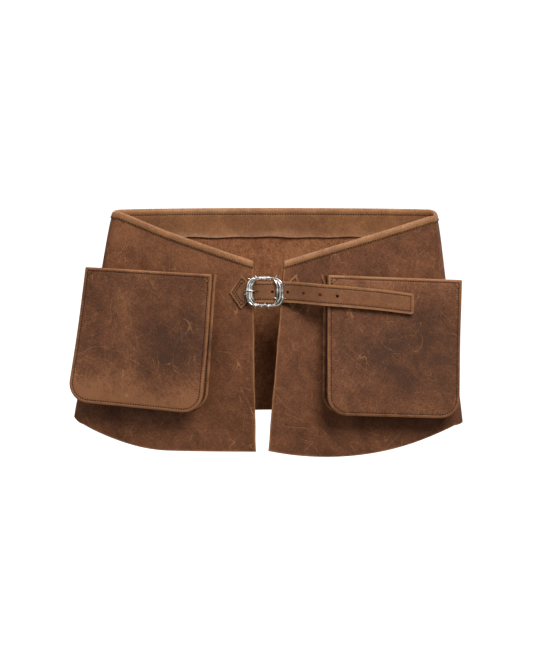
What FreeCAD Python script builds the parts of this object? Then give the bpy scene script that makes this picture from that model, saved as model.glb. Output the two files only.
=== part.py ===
import FreeCAD, Part
import math
import os
import Sketcher

# Leather tool belt: a closed loop of leather that hangs from the waist, open at the
# front in a V, with a big open-topped pocket on each front and a strap and buckle.
# +X is the wearer's left, -Y the outside of the front, +Z up. The origin is the
# middle of the waist opening, level with the top edge of the back.

DOC = FreeCAD.newDocument("tool_belt")
SIZES = DOC.addObject("Spreadsheet::Sheet", "Sizes")
VECTOR = FreeCAD.Vector
TOUCH = 1e-4
HALF_CIRCLE_SLACK = 1.0001
HOLE_COUNT = 5
PIECES = []

DIMENSIONS = [
    # the loop, in plan
    ("waist_half", 235.5, "half the width of the loop at the waist"),
    ("bend_radius", 16.0, "outer radius of the bends at the sides"),
    ("back_depth", 60.0, "middle of the back behind the line of the bends"),
    ("back_flare", 0.04, "how far the back leans out for each mm down"),
    ("left_flare", 0.173, "how far the left side leans out for each mm down"),
    ("right_flare", 0.123, "how far the right side leans out for each mm down"),
    ("front_angle", 11.4, "angle of the fronts to the X axis, degrees"),
    ("leather", 3.0, "thickness of the body leather"),
    ("seam_gap", 0.3, "gap between layers that are sewn together"),
    # heights below the waist
    ("back_hem", 299.0, "hem of the back"),
    ("bend_hem", 303.0, "hem at the side bends"),
    # left front, in its own plane
    ("left_neck_run", 196.0, "side bend to the point of the V"),
    ("left_neck_drop", 69.5, "depth of the point of the V"),
    ("left_top_arc", 1800.0, "radius of the slightly hollow top edge"),
    ("left_inner_run", 201.5, "side bend to the bottom of the inner edge"),
    ("left_inner_drop", 341.5, "hem at the inner edge"),
    ("left_flat_run", 75.0, "where the hem starts to rise"),
    ("left_flat_drop", 343.0, "hem where it starts to rise"),
    ("left_hem_arc", 260.0, "radius of the rising hem"),
    # right front, in its own plane
    ("right_top_drop", 4.0, "top edge at the side bend"),
    ("right_neck_run", 214.0, "side bend to the point of the V"),
    ("right_neck_drop", 69.5, "depth of the point of the V"),
    ("right_inner_run", 238.0, "side bend to the bottom of the inner edge"),
    ("right_inner_drop", 339.5, "hem at the inner edge"),
    ("right_flat_run", 145.0, "where the hem starts to rise"),
    ("right_flat_drop", 351.0, "hem where it starts to rise"),
    ("right_hem_arc", 420.0, "radius of the rising hem"),
    ("right_bend_hem", 309.0, "hem of the right front at the side bend"),
    # waistband, folded over the top edge
    ("band_leather", 1.5, "thickness of the waistband"),
    ("band_lip", 10.0, "height of the waistband outside"),
    ("band_facing", 43.0, "height of the waistband inside"),
    # pockets
    ("pocket_width", 193.0, "width of a pocket's front"),
    ("pocket_height", 196.5, "height of a pocket's front"),
    ("pocket_corner", 28.0, "radius of the bottom corners"),
    ("pocket_depth", 34.0, "front of the panel to the front of the pocket"),
    ("pocket_leather", 2.5, "thickness of a pocket's front"),
    ("mouth_hem", 12.0, "height of the hem turned in at the mouth"),
    ("mouth_leather", 1.2, "thickness of the turned-in hem"),
    ("gusset_leather", 2.2, "thickness of the gusset"),
    ("gusset_inset", 4.0, "gusset inside the edge of the front"),
    ("gusset_flange", 9.0, "width of the gusset's sewn-on edge"),
    ("left_pocket_run", 52.3, "middle of the left mouth, from the side bend"),
    ("left_pocket_drop", 83.7, "middle of the left mouth, below the waist"),
    ("left_pocket_tilt", 4.6, "clockwise tilt of the left pocket, degrees"),
    ("right_pocket_run", 60.6, "middle of the right mouth, from the side bend"),
    ("right_pocket_drop", 92.9, "middle of the right mouth, below the waist"),
    ("right_pocket_tilt", 1.9, "clockwise tilt of the right pocket, degrees"),
    # strap
    ("strap_level", 112.0, "middle of the strap below the waist"),
    ("strap_half", 15.0, "half the width of the strap"),
    ("strap_leather", 1.6, "thickness of each of the strap's two layers"),
    ("strap_root", 42.7, "left of the middle, where the strap leaves its anchor"),
    ("root_half", 19.0, "half height of the strap at its root"),
    ("strap_tip", 197.5, "right of the middle, end of the strap"),
    ("tip_level", 130.0, "middle of the strap's tip below the waist"),
    ("bend_x", 90.0, "where the strap starts to droop"),
    ("level_x", 22.5, "where the strap's level part ends"),
    ("bend_level", 117.0, "middle of the strap there, below the waist"),
    ("tip_cut", 5.0, "cut corners of the tip"),
    # the strap's way in plan: places to the left or right of the middle, and how far out in front
    ("root_front", 57.2, "back of the strap at its root"),
    ("edge_x", 29.0, "inner edge of the left front, left of the middle"),
    ("edge_front", 59.8, "back of the strap there"),
    ("rise_x", 17.5, "where the strap has climbed over the tab's fold, left of the middle"),
    ("rise_front", 65.6, "back of the strap there"),
    ("crest_front", 66.3, "back of the strap over the centre bar"),
    ("tab_x", 2.0, "where the strap lies down on the tab, right of the middle"),
    ("tab_front", 65.2, "back of the strap on the tab"),
    ("leave_x", 14.0, "where the strap leaves the tab, right of the middle"),
    ("pocket_x", 73.0, "inner edge of the right pocket, right of the middle"),
    ("pocket_front", 85.6, "back of the strap there"),
    ("tip_front", 60.4, "back of the strap at its tip"),
    ("hole_radius", 2.6, "holes of the strap"),
    ("hole_pitch", 23.2, "distance between holes"),
    ("hole_first", 3.8, "first hole, left of the middle"),
    ("hole_lift", 1.0, "first hole above the strap's level"),
    ("hole_fall", 0.9, "each hole below the one before it"),
    ("tongue_slot", 12.0, "length of the hole that the tongue goes through"),
    ("tongue_slot_x", 22.0, "middle of that hole, left of the middle"),
    ("anchor_left_run", 162.2, "outer corner of the anchor, from the side bend"),
    ("anchor_peak_run", 179.5, "top and bottom corners of the anchor"),
    ("anchor_end_run", 184.0, "end of the anchor, where the strap starts"),
    ("anchor_level", 113.7, "middle of the anchor below the waist"),
    ("anchor_half", 24.6, "half height of the anchor"),
    # buckle
    ("bar_x", 12.8, "centre bar, left of the middle"),
    ("bar_y", 62.5, "centre bar, in front of the middle"),
    ("bar_radius", 1.8, "radius of the centre bar"),
    ("bar_half", 20.2, "half length of the centre bar"),
    ("bar_clearance", 0.06, "running clearance round the centre bar"),
    ("frame_half_width", 28.0, "half width of the buckle"),
    ("frame_half_height", 22.0, "half height of the buckle"),
    ("window_half_width", 16.1, "half width of the buckle's window"),
    ("window_half_height", 16.4, "half height of the buckle's window"),
    ("frame_thickness", 5.6, "thickness of the buckle"),
    ("frame_corner", 9.0, "radius of the buckle's outer corners"),
    ("window_corner", 4.0, "radius of the window's corners"),
    ("frame_edge", 1.6, "rounding of the buckle's edges"),
    ("frame_turn", 8.9, "how far the buckle's right side turns forward, degrees"),
    ("bar_setback", 4.1, "centre bar behind the back of the frame"),
    ("lug_radius", 3.4, "radius of the lugs that hold the centre bar"),
    ("lug_height", 4.0, "height of each lug"),
    ("lug_root", 2.0, "how deep each lug runs into the frame"),
    ("tongue_half", 1.5, "half width of the tongue"),
    ("tongue_reach", 26.5, "centre bar to the tip of the tongue"),
    ("tongue_eye", 3.3, "outer radius of the tongue's eye"),
    ("tongue_thickness", 2.4, "thickness of the tongue"),
    ("tongue_root_x", 2.2, "where the tongue's shank leaves its eye, left of the centre bar"),
    ("tongue_root_back", 0.5, "back of the shank there, in front of the centre bar"),
    ("tongue_root_front", 2.6, "front of the shank there, in front of the centre bar"),
    ("tongue_tip", 1.0, "length of the tongue's bevelled tip"),
    ("tongue_bevel", 0.6, "bevel of that tip"),
    # buckle tab, folded round the centre bar and sewn to the right front
    ("tab_half", 14.0, "half height of the tab in the buckle"),
    ("tab_leather", 1.5, "thickness of the tab's leather"),
    ("tab_peak_half", 25.0, "half height of the tab's sewn-on end"),
    ("tab_peak_x", 25.0, "where that end is tallest"),
    ("tab_tip_x", 42.0, "tip of the tab"),
    ("tab_slot_half", 3.2, "half height of the slot for the tongue's eye"),
    ("tab_slot_reach", 10.0, "end of that slot, right of the centre bar"),
    ("tab_sewn_x", 10.0, "where the tab lies down on the right front"),
    ("tab_sewn_y", 62.0, "back of the tab there, in front of the middle"),
    ("tab_squash", 0.5, "how much thinner the tab's two layers are once sewn"),
    ("tab_neck", 5.0, "length of the tab's flare before its peak"),
    ("trim_reach", 500.0, "size of the frames that trim a piece"),
]


def fill_sheet():
    for row, (alias, value, note) in enumerate(DIMENSIONS, start=1):
        SIZES.set(f"A{row}", alias)
        SIZES.set(f"B{row}", str(value))
        SIZES.set(f"C{row}", note)
        SIZES.setAlias(f"B{row}", alias)
    DOC.recompute()


def number(expression):
    return float(SIZES.evalExpression(expression))


def size(alias):
    return f"Sizes.{alias}"


# ---------------------------------------------------------------- sketches

def new_body(label):
    body = DOC.addObject("PartDesign::Body", label)
    body.Label = label
    PIECES.append(body)
    return body


def new_sketch(body, name, role, lift="0"):
    plane = next(part for part in body.Origin.OriginFeatures if part.Role == role)
    sketch = body.newObject("Sketcher::SketchObject", f"{body.Label}_{name}")
    sketch.AttachmentSupport = [(plane, "")]
    sketch.MapMode = "FlatFace"
    sketch.setExpression("AttachmentOffset.Base.z", lift)
    return sketch


def pin_value(sketch, constraint, expression):
    index = sketch.addConstraint(constraint)
    sketch.setExpression(f"Constraints[{index}]", expression)


def pin_point(sketch, edge, end, corner):
    for kind, expression in zip(("DistanceX", "DistanceY"), corner):
        value = number(expression)
        pin_value(sketch, Sketcher.Constraint(kind, -1, 1, edge, end, value), expression)


def short_arc(start, end, radius, side):
    """The shorter arc between two points. It bulges left of the way where side is 1."""
    chord = end - start
    outward = VECTOR(-chord.y, chord.x, 0).normalize() * side
    rise = radius - math.sqrt(radius ** 2 - (chord.Length / 2) ** 2)
    middle = (start + end) * 0.5 + outward * rise
    ends = (end, start) if side > 0 else (start, end)
    return Part.Arc(ends[0], middle, ends[1])


def end_at(sketch, edge, point):
    start = sketch.Geometry[edge].StartPoint
    return 1 if start.distanceToPoint(point) < TOUCH else 2


def draw_outline(sketch, corners, arcs=None):
    """A closed outline through corners. arcs gives (radius, side) for the edge after a corner."""
    arcs = arcs or {}
    points = [VECTOR(number(x), number(y), 0) for x, y in corners]
    first = sketch.GeometryCount
    for index, start in enumerate(points):
        end = points[(index + 1) % len(points)]
        if index in arcs:
            radius, side = arcs[index]
            edge = sketch.addGeometry(short_arc(start, end, number(radius), side))
            pin_value(sketch, Sketcher.Constraint("Radius", edge, number(radius)), radius)
        else:
            sketch.addGeometry(Part.LineSegment(start, end))
    for index, point in enumerate(points):
        edge = first + index
        before = first + (index - 1) % len(points)
        ends = (before, end_at(sketch, before, point), edge, end_at(sketch, edge, point))
        sketch.addConstraint(Sketcher.Constraint("Coincident", *ends))
        pin_point(sketch, edge, end_at(sketch, edge, point), corners[index])


def draw_circle(sketch, centre, radius):
    middle = VECTOR(number(centre[0]), number(centre[1]), 0)
    edge = sketch.addGeometry(Part.Circle(middle, VECTOR(0, 0, 1), number(radius)))
    pin_point(sketch, edge, 3, centre)
    pin_value(sketch, Sketcher.Constraint("Radius", edge, number(radius)), radius)


# ---------------------------------------------------------------- features

def pad(body, sketch, length, backwards=False):
    feature = body.newObject("PartDesign::Pad", f"{sketch.Label}_pad")
    feature.Profile = sketch
    feature.setExpression("Length", length)
    feature.Reversed = backwards
    return feature


def cut_through(body, sketch):
    """Cuts both ways from the sketch, and checks that something was cut."""
    DOC.recompute()
    before = body.Shape.Volume
    feature = body.newObject("PartDesign::Pocket", f"{sketch.Label}_cut")
    feature.Profile = sketch
    feature.Midplane = True
    feature.setExpression("Length", f"2 * {size('trim_reach')}")
    DOC.recompute()
    if body.Shape.Volume > before - TOUCH:
        raise RuntimeError(f"{feature.Label} cut nothing")


def loft(body, name, lower, upper):
    feature = body.newObject("PartDesign::AdditiveLoft", f"{body.Label}_{name}")
    feature.Profile = lower
    feature.Sections = [upper]
    feature.Ruled = True


def front_plate(body, name, lift, thickness, corners, arcs=None, backwards=False):
    """A flat layer: an outline in the body's XZ plane, given a thickness."""
    sketch = new_sketch(body, name, "XZ_Plane", lift)
    draw_outline(sketch, corners, arcs)
    pad(body, sketch, thickness, backwards)


def trim_to(body, name, corners, arcs=None):
    """Keeps what lies inside an outline seen from the front."""
    reach = size("trim_reach")
    frame = [(f"-{reach}", f"-{reach}"), (reach, f"-{reach}"), (reach, reach), (f"-{reach}", reach)]
    sketch = new_sketch(body, name, "XZ_Plane")
    draw_outline(sketch, frame)
    draw_outline(sketch, corners, arcs)
    cut_through(body, sketch)


# ---------------------------------------------------------------- the loop in plan

class Level:
    """The plan of the loop at one height: two side bends and the arc of the back."""

    def __init__(self, drop):
        radius = size("bend_radius")
        straight = f"{size('waist_half')} - {radius}"
        self.left = f"({straight} + {size('left_flare')} * ({drop}))"
        self.right = f"({straight} + {size('right_flare')} * ({drop}))"
        self.half = f"(({self.left} + {self.right}) / 2)"
        self.middle_x = f"(({self.right} - {self.left}) / 2)"
        rise = f"({size('back_depth')} + {size('back_flare')} * ({drop}) - {radius})"
        self.middle_y = f"(({rise} ^ 2 - {self.half} ^ 2) / (2 * {rise}))"
        self.back_radius = f"({rise} + {radius} - {self.middle_y})"
        self.reach = f"({rise} - {self.middle_y})"

    def back_end(self, side, offset):
        """The end of the back's arc at one side, offset outwards from the leather's face."""
        radius = f"({self.back_radius} + {offset})"
        across = f"({side} * {self.half} / {self.reach})"
        along = f"(-{self.middle_y} / {self.reach})"
        x = f"{self.middle_x} + {radius} * {across}"
        y = f"{self.middle_y} + {radius} * {along}"
        return x, y

    def bend_point(self, side, offset, front):
        """The front or back end of a side bend, offset outwards from the leather's face."""
        radius = f"({size('bend_radius')} + {offset})"
        centre = f"({side} * {self.left if side < 0 else self.right})"
        if front:
            turn = f"({size('front_angle')} * 1 deg)"
            return f"{centre} + {side} * {radius} * sin{turn}", f"-{radius} * cos{turn}"
        across = f"({side} * {self.half} / {self.reach})"
        along = f"(-{self.middle_y} / {self.reach})"
        return f"{centre} + {radius} * {across}", f"{radius} * {along}"


def back_strip(body, name, drop, outside, inside):
    """The back's strip in plan: offsets outside and inside of the leather's outer face."""
    level = Level(drop)
    corners = [level.back_end(-1, inside), level.back_end(-1, outside)]
    corners += [level.back_end(1, outside), level.back_end(1, inside)]
    arcs = {
        1: (f"{level.back_radius} + {outside}", 1),
        3: (f"{level.back_radius} + {inside}", -1),
    }
    sketch = new_sketch(body, name, "XY_Plane", f"-({drop})")
    draw_outline(sketch, corners, arcs)
    return sketch


def bend_strip(body, name, side, drop, outside, inside):
    """A side bend's strip in plan, between the same kind of offsets."""
    level = Level(drop)
    corners = [level.bend_point(side, outside, True), level.bend_point(side, outside, False)]
    corners += [level.bend_point(side, inside, False), level.bend_point(side, inside, True)]
    radius = size("bend_radius")
    arcs = {0: (f"{radius} + {outside}", -side), 2: (f"{radius} + {inside}", side)}
    sketch = new_sketch(body, name, "XY_Plane", f"-({drop})")
    draw_outline(sketch, corners, arcs)
    return sketch


def loop_wall(body, name, strip, bottom, top, outside, inside):
    lower = strip(f"{name}_low", bottom, outside, inside)
    upper = strip(f"{name}_high", top, outside, inside)
    loft(body, name, lower, upper)


def curved_band(body, strip):
    """The waistband over a curved stretch: a lip outside, a facing inside, a fold on top."""
    gap, thick, leather = size("seam_gap"), size("band_leather"), size("leather")
    top = f"(-{gap} - {thick})"
    outer, outer_face = f"({gap} + {thick})", gap
    inner, inner_face = f"(-{leather} - {gap} - {thick})", f"(-{leather} - {gap})"
    loop_wall(body, "lip", strip, size("band_lip"), top, outer, outer_face)
    loop_wall(body, "fold", strip, f"(-{gap})", top, outer, inner)
    loop_wall(body, "facing", strip, size("band_facing"), top, inner_face, inner)


def make_back():
    panel = new_body("back_panel")
    band = new_body("back_waistband")

    def panel_strip(*values):
        return back_strip(panel, *values)

    def band_strip(*values):
        return back_strip(band, *values)

    loop_wall(panel, "wall", panel_strip, size("back_hem"), "0", "0", f"(-{size('leather')})")
    curved_band(band, band_strip)


def make_bend(label, side):
    panel = new_body(f"{label}_panel_bend")
    band = new_body(f"{label}_waistband_bend")

    def panel_strip(name, *values):
        return bend_strip(panel, name, side, *values)

    def band_strip(name, *values):
        return bend_strip(band, name, side, *values)

    loop_wall(panel, "wall", panel_strip, size("bend_hem"), "0", "0", f"(-{size('leather')})")
    curved_band(band, band_strip)


# ---------------------------------------------------------------- the fronts

def front_placement(side):
    """A front's own frame: at the top of its line of tangency with the side bend."""
    turn = math.radians(number(size("front_angle")))
    flare = number(size("left_flare" if side < 0 else "right_flare"))
    radius = number(size("bend_radius"))
    run = number(size("waist_half")) - radius + radius * math.sin(turn)
    across = VECTOR(math.cos(turn), side * math.sin(turn), 0)
    outward = VECTOR(side * math.sin(turn), -math.cos(turn), math.sin(turn) * flare).normalize()
    up = outward.cross(across)
    columns = (across, -outward, up, VECTOR(side * run, -radius * math.cos(turn), 0))
    values = [getattr(column, axis) for axis in "xyz" for column in columns]
    return FreeCAD.Placement(FreeCAD.Matrix(*values, 0, 0, 0, 1))


def bend_edge(side, drop):
    """The point of a front beside its side bend, at a depth."""
    flare = size("left_flare" if side < 0 else "right_flare")
    slope = f"{side} * {flare} * cos({size('front_angle')} * 1 deg)"
    return f"{slope} * ({drop}) - {side} * {size('seam_gap')}", f"-({drop})"


def make_left_front():
    panel = new_body("left_front_panel")
    corners = [
        bend_edge(-1, "0"),
        (size("left_neck_run"), f"-{size('left_neck_drop')}"),
        (size("left_inner_run"), f"-{size('left_inner_drop')}"),
        (size("left_flat_run"), f"-{size('left_flat_drop')}"),
        bend_edge(-1, size("bend_hem")),
    ]
    arcs = {0: (size("left_top_arc"), -1), 3: (size("left_hem_arc"), 1)}
    front_plate(panel, "sheet", "0", size("leather"), corners, arcs, True)
    panel.Placement = front_placement(-1)


def make_right_front():
    panel = new_body("right_front_panel")
    corners = [
        bend_edge(1, size("right_top_drop")),
        bend_edge(1, size("right_bend_hem")),
        (f"-{size('right_flat_run')}", f"-{size('right_flat_drop')}"),
        (f"-{size('right_inner_run')}", f"-{size('right_inner_drop')}"),
        (f"-{size('right_neck_run')}", f"-{size('right_neck_drop')}"),
    ]
    arcs = {1: (size("right_hem_arc"), 1)}
    front_plate(panel, "sheet", "0", size("leather"), corners, arcs, True)
    panel.Placement = front_placement(1)


def make_front_band(label, side, top_drop, top_arc=None):
    """The waistband along the slanting top edge of one front."""
    band = new_body(f"{label}_waistband")
    gap, thick, leather = size("seam_gap"), size("band_leather"), size("leather")
    run = f"({-side} * {size(f'{label}_neck_run')})"
    neck = size(f"{label}_neck_drop")
    inside = f"-({leather} + {gap} + {thick})"

    def layer(name, lift, thickness, above, below):
        corners = [
            bend_edge(side, f"{top_drop} - {above}"),
            (run, f"-{neck} + {above}"),
            (run, f"-{neck} - {below}"),
            bend_edge(side, f"{top_drop} + {below}"),
        ]
        arcs = {0: (top_arc, -1), 2: (top_arc, 1)} if top_arc else None
        front_plate(band, name, lift, thickness, corners, arcs)

    above = f"({gap} + {thick})"
    layer("fold", inside, f"{leather} + 2 * {above}", above, f"(-{gap})")
    layer("lip", gap, thick, above, size("band_lip"))
    layer("facing", inside, thick, above, size("band_facing"))
    band.Placement = front_placement(side)


# ---------------------------------------------------------------- the pockets

def pocket_placement(label, side):
    run = number(size(f"{label}_pocket_run")) * (1 if side < 0 else -1)
    drop = number(size(f"{label}_pocket_drop"))
    tilt = number(size(f"{label}_pocket_tilt"))
    turn = FreeCAD.Rotation(VECTOR(0, 1, 0), tilt)
    return front_placement(side) * FreeCAD.Placement(VECTOR(run, 0, -drop), turn)


def pocket_edge(inset):
    """Half width, bottom and corner radius of the pocket's outline, moved in by inset."""
    half = f"({size('pocket_width')} / 2 - {inset})"
    bottom = f"(-{size('pocket_height')} + {inset})"
    corner = f"({size('pocket_corner')} - {inset})"
    return half, bottom, corner


def strip_round_pocket(body, name, lift, thickness, outer_inset, inner_inset):
    """A strip that follows the sides and bottom of the pocket, between two insets."""
    half, bottom, corner = pocket_edge(outer_inset)
    inner_half, inner_bottom, inner_corner = pocket_edge(inner_inset)
    corners = [
        (f"-{half}", "0"),
        (f"-{half}", f"{bottom} + {corner}"),
        (f"-{half} + {corner}", bottom),
        (f"{half} - {corner}", bottom),
        (half, f"{bottom} + {corner}"),
        (half, "0"),
        (inner_half, "0"),
        (inner_half, f"{inner_bottom} + {inner_corner}"),
        (f"{inner_half} - {inner_corner}", inner_bottom),
        (f"-{inner_half} + {inner_corner}", inner_bottom),
        (f"-{inner_half}", f"{inner_bottom} + {inner_corner}"),
        (f"-{inner_half}", "0"),
    ]
    arcs = {1: (corner, -1), 3: (corner, -1), 7: (inner_corner, 1), 9: (inner_corner, 1)}
    front_plate(body, name, lift, thickness, corners, arcs)


def make_pocket(label, side):
    depth, thick, gap = size("pocket_depth"), size("pocket_leather"), size("seam_gap")
    front = new_body(f"{label}_pocket_front")
    half, bottom, corner = pocket_edge("0")
    corners = [
        (f"-{half}", "0"),
        (f"-{half}", f"{bottom} + {corner}"),
        (f"-{half} + {corner}", bottom),
        (f"{half} - {corner}", bottom),
        (half, f"{bottom} + {corner}"),
        (half, "0"),
    ]
    arcs = {1: (corner, -1), 3: (corner, -1)}
    front_plate(front, "sheet", f"{depth} - {thick}", thick, corners, arcs)
    hem_half = f"({half} - {size('gusset_inset')} - {size('gusset_leather')} - {gap})"
    hem = size("mouth_hem")
    hem_corners = [(f"-{hem_half}", f"-{hem}"), (hem_half, f"-{hem}"), (hem_half, "0")]
    hem_corners += [(f"-{hem_half}", "0")]
    hem_lift = f"{depth} - {thick} - {size('mouth_leather')}"
    front_plate(front, "hem", hem_lift, size("mouth_leather"), hem_corners)

    gusset = new_body(f"{label}_pocket_gusset")
    outside = size("gusset_inset")
    wall = size("gusset_leather")
    strip_round_pocket(
        gusset, "wall", gap, f"{depth} - {thick} - 2 * {gap}", outside, f"({outside} + {wall})"
    )
    strip_round_pocket(
        gusset, "flange", gap, wall, outside, f"({outside} + {size('gusset_flange')})"
    )
    for body in (front, gusset):
        body.Placement = pocket_placement(label, side)


# ---------------------------------------------------------------- the strap

def strap_path():
    """The back of the strap in plan, from its root to its tip: across, and out in front."""
    return [
        (f"-{size('strap_root')}", f"-{size('root_front')}"),
        (f"-{size('edge_x')}", f"-{size('edge_front')}"),
        (f"-{size('rise_x')}", f"-{size('rise_front')}"),
        (f"-{size('bar_x')}", f"-{size('crest_front')}"),
        (size("tab_x"), f"-{size('tab_front')}"),
        (size("leave_x"), f"-{size('tab_front')}"),
        (size("pocket_x"), f"-{size('pocket_front')}"),
        (size("strap_tip"), f"-{size('tip_front')}"),
    ]


def ribbon(body, behind, before):
    """A layer of the strap, between two distances in front of the strap's back."""
    path = strap_path()
    corners = [(x, f"{y} - {behind}") for x, y in path]
    corners += [(x, f"{y} - {before}") for x, y in reversed(path)]
    low = f"-({size('tip_level')} + {size('root_half')})"
    sketch = new_sketch(body, "plan", "XY_Plane", low)
    draw_outline(sketch, corners)
    height = f"{size('tip_level')} - {size('strap_level')} + {size('root_half')} + {size('anchor_half')}"
    pad(body, sketch, height)


def make_strap():
    level, half = size("strap_level"), size("strap_half")
    root, tip, cut = f"-{size('strap_root')}", size("strap_tip"), size("tip_cut")
    bend, bend_level, tip_level = size("bend_x"), size("bend_level"), size("tip_level")
    neck = f"{root} + {size('root_half')} - {half}"
    corners = [
        (root, f"-{level} - {size('root_half')}"),
        (neck, f"-{level} - {half}"),
        (size("level_x"), f"-{level} - {half}"),
        (bend, f"-{bend_level} - {half}"),
        (f"{tip} - {cut}", f"-{tip_level} - {half}"),
        (tip, f"-{tip_level} - {half} + {cut}"),
        (tip, f"-{tip_level} + {half} - {cut}"),
        (f"{tip} - {cut}", f"-{tip_level} + {half}"),
        (bend, f"-{bend_level} + {half}"),
        (size("level_x"), f"-{level} + {half}"),
        (neck, f"-{level} + {half}"),
        (root, f"-{level} + {size('root_half')}"),
    ]
    thick = size("strap_leather")
    layers = (("strap_lining", "0", thick), ("strap", thick, f"2 * {thick}"))
    for label, behind, before in layers:
        body = new_body(label)
        ribbon(body, behind, before)
        trim_to(body, "outline", corners)
        holes = new_sketch(body, "holes", "XZ_Plane")
        for step in range(HOLE_COUNT):
            across = f"-{size('hole_first')} + {step} * {size('hole_pitch')}"
            up = f"-{level} + {size('hole_lift')} - {step} * {size('hole_fall')}"
            draw_circle(holes, (across, up), size("hole_radius"))
        left = f"-{size('tongue_slot_x')} - {size('tongue_slot')} / 2"
        right = f"-{size('tongue_slot_x')} + {size('tongue_slot')} / 2"
        below, above = f"-{level} - {size('hole_radius')}", f"-{level} + {size('hole_radius')}"
        draw_outline(holes, [(left, below), (right, below), (right, above), (left, above)])
        cut_through(body, holes)


def make_anchor():
    """The diamond end of the strap, sewn to the left front, in two layers."""
    level, half = size("anchor_level"), size("anchor_half")
    peak, end = size("anchor_peak_run"), size("anchor_end_run")
    end_half = f"({half} - ({end} - {peak}))"
    corners = [
        (size("anchor_left_run"), f"-{level}"),
        (peak, f"-{level} - {half}"),
        (end, f"-{level} - {end_half}"),
        (end, f"-{level} + {end_half}"),
        (peak, f"-{level} + {half}"),
    ]
    thick, gap = size("strap_leather"), size("seam_gap")
    for label, lift in (("strap_anchor_lining", gap), ("strap_anchor", f"{gap} + {thick}")):
        body = new_body(label)
        front_plate(body, "sheet", lift, thick, corners)
        body.Placement = front_placement(-1)


# ---------------------------------------------------------------- the buckle

def buckle_placement():
    bar = VECTOR(-number(size("bar_x")), -number(size("bar_y")), -number(size("strap_level")))
    turn = FreeCAD.Rotation(VECTOR(0, 0, 1), -number(size("frame_turn")))
    behind = turn.multVec(VECTOR(0, number(size("bar_setback")), 0))
    return FreeCAD.Placement(bar - behind, turn)


def rounded_box(sketch, half_width, half_height, corner):
    across, up = f"({half_width} - {corner})", f"({half_height} - {corner})"
    corners = [
        (f"-{across}", f"-{half_height}"),
        (across, f"-{half_height}"),
        (half_width, f"-{up}"),
        (half_width, up),
        (across, half_height),
        (f"-{across}", half_height),
        (f"-{half_width}", up),
        (f"-{half_width}", f"-{up}"),
    ]
    arcs = {index: (corner, -1) for index in (1, 3, 5, 7)}
    draw_outline(sketch, corners, arcs)


def make_buckle_frame():
    body = new_body("buckle_frame")
    ring = new_sketch(body, "ring", "XZ_Plane")
    rounded_box(ring, size("frame_half_width"), size("frame_half_height"), size("frame_corner"))
    rounded_box(ring, size("window_half_width"), size("window_half_height"), size("window_corner"))
    solid = pad(body, ring, size("frame_thickness"))
    DOC.recompute()
    rounding = body.newObject("PartDesign::Fillet", "buckle_frame_rounding")
    front = min(range(len(solid.Shape.Faces)), key=lambda i: solid.Shape.Faces[i].CenterOfMass.y)
    rounding.Base = (solid, [f"Face{front + 1}"])
    rounding.setExpression("Radius", size("frame_edge"))
    lug, height, setback = size("lug_radius"), size("lug_height"), size("bar_setback")
    root = f"-{size('lug_root')}"
    corners = [(f"-{lug}", root), (lug, root), (lug, setback), (f"-{lug}", setback)]
    window = size("window_half_height")
    for name, low in (("upper_lug", window), ("lower_lug", f"-{window} - {height}")):
        sketch = new_sketch(body, name, "XY_Plane", low)
        draw_outline(sketch, corners, {2: (f"{lug} * {HALF_CIRCLE_SLACK}", -1)})
        draw_circle(sketch, ("0", setback), f"{size('bar_radius')} + {size('bar_clearance')}")
        pad(body, sketch, height)
    body.Placement = buckle_placement()


def make_centre_bar():
    body = new_body("buckle_centre_bar")
    sketch = new_sketch(body, "round", "XY_Plane", f"-{size('bar_half')}")
    draw_circle(sketch, ("0", size("bar_setback")), size("bar_radius"))
    pad(body, sketch, f"2 * {size('bar_half')}")
    body.Placement = buckle_placement()


def make_tongue():
    body = new_body("buckle_tongue")
    setback, reach = size("bar_setback"), size("tongue_reach")
    rest = f"(-{size('frame_thickness')} - {size('seam_gap')})"
    front = f"({rest} - {size('tongue_thickness')})"
    low = f"-{size('tongue_half')}"
    root, tip = size("tongue_root_x"), size("tongue_tip")
    shank = new_sketch(body, "shank", "XY_Plane", low)
    corners = [
        (f"-{root}", f"{setback} - {size('tongue_root_back')}"),
        (f"-{size('window_half_width')}", rest),
        (f"-{reach}", rest),
        (f"-{reach} - {tip}", f"{front} + {size('tongue_bevel')}"),
        (f"-{reach}", front),
        (f"-{size('window_half_width')} + {tip}", front),
        (f"-{root}", f"{setback} - {size('tongue_root_front')}"),
    ]
    draw_outline(shank, corners)
    pad(body, shank, f"2 * {size('tongue_half')}")
    eye = new_sketch(body, "eye", "XY_Plane", f"{low} - {tip}")
    draw_circle(eye, ("0", setback), size("tongue_eye"))
    pad(body, eye, f"2 * ({size('tongue_half')} + {tip})")
    bore = new_sketch(body, "bore", "XY_Plane")
    draw_circle(bore, ("0", setback), f"{size('bar_radius')} + {size('bar_clearance')}")
    cut_through(body, bore)
    body.Placement = buckle_placement()


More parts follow.
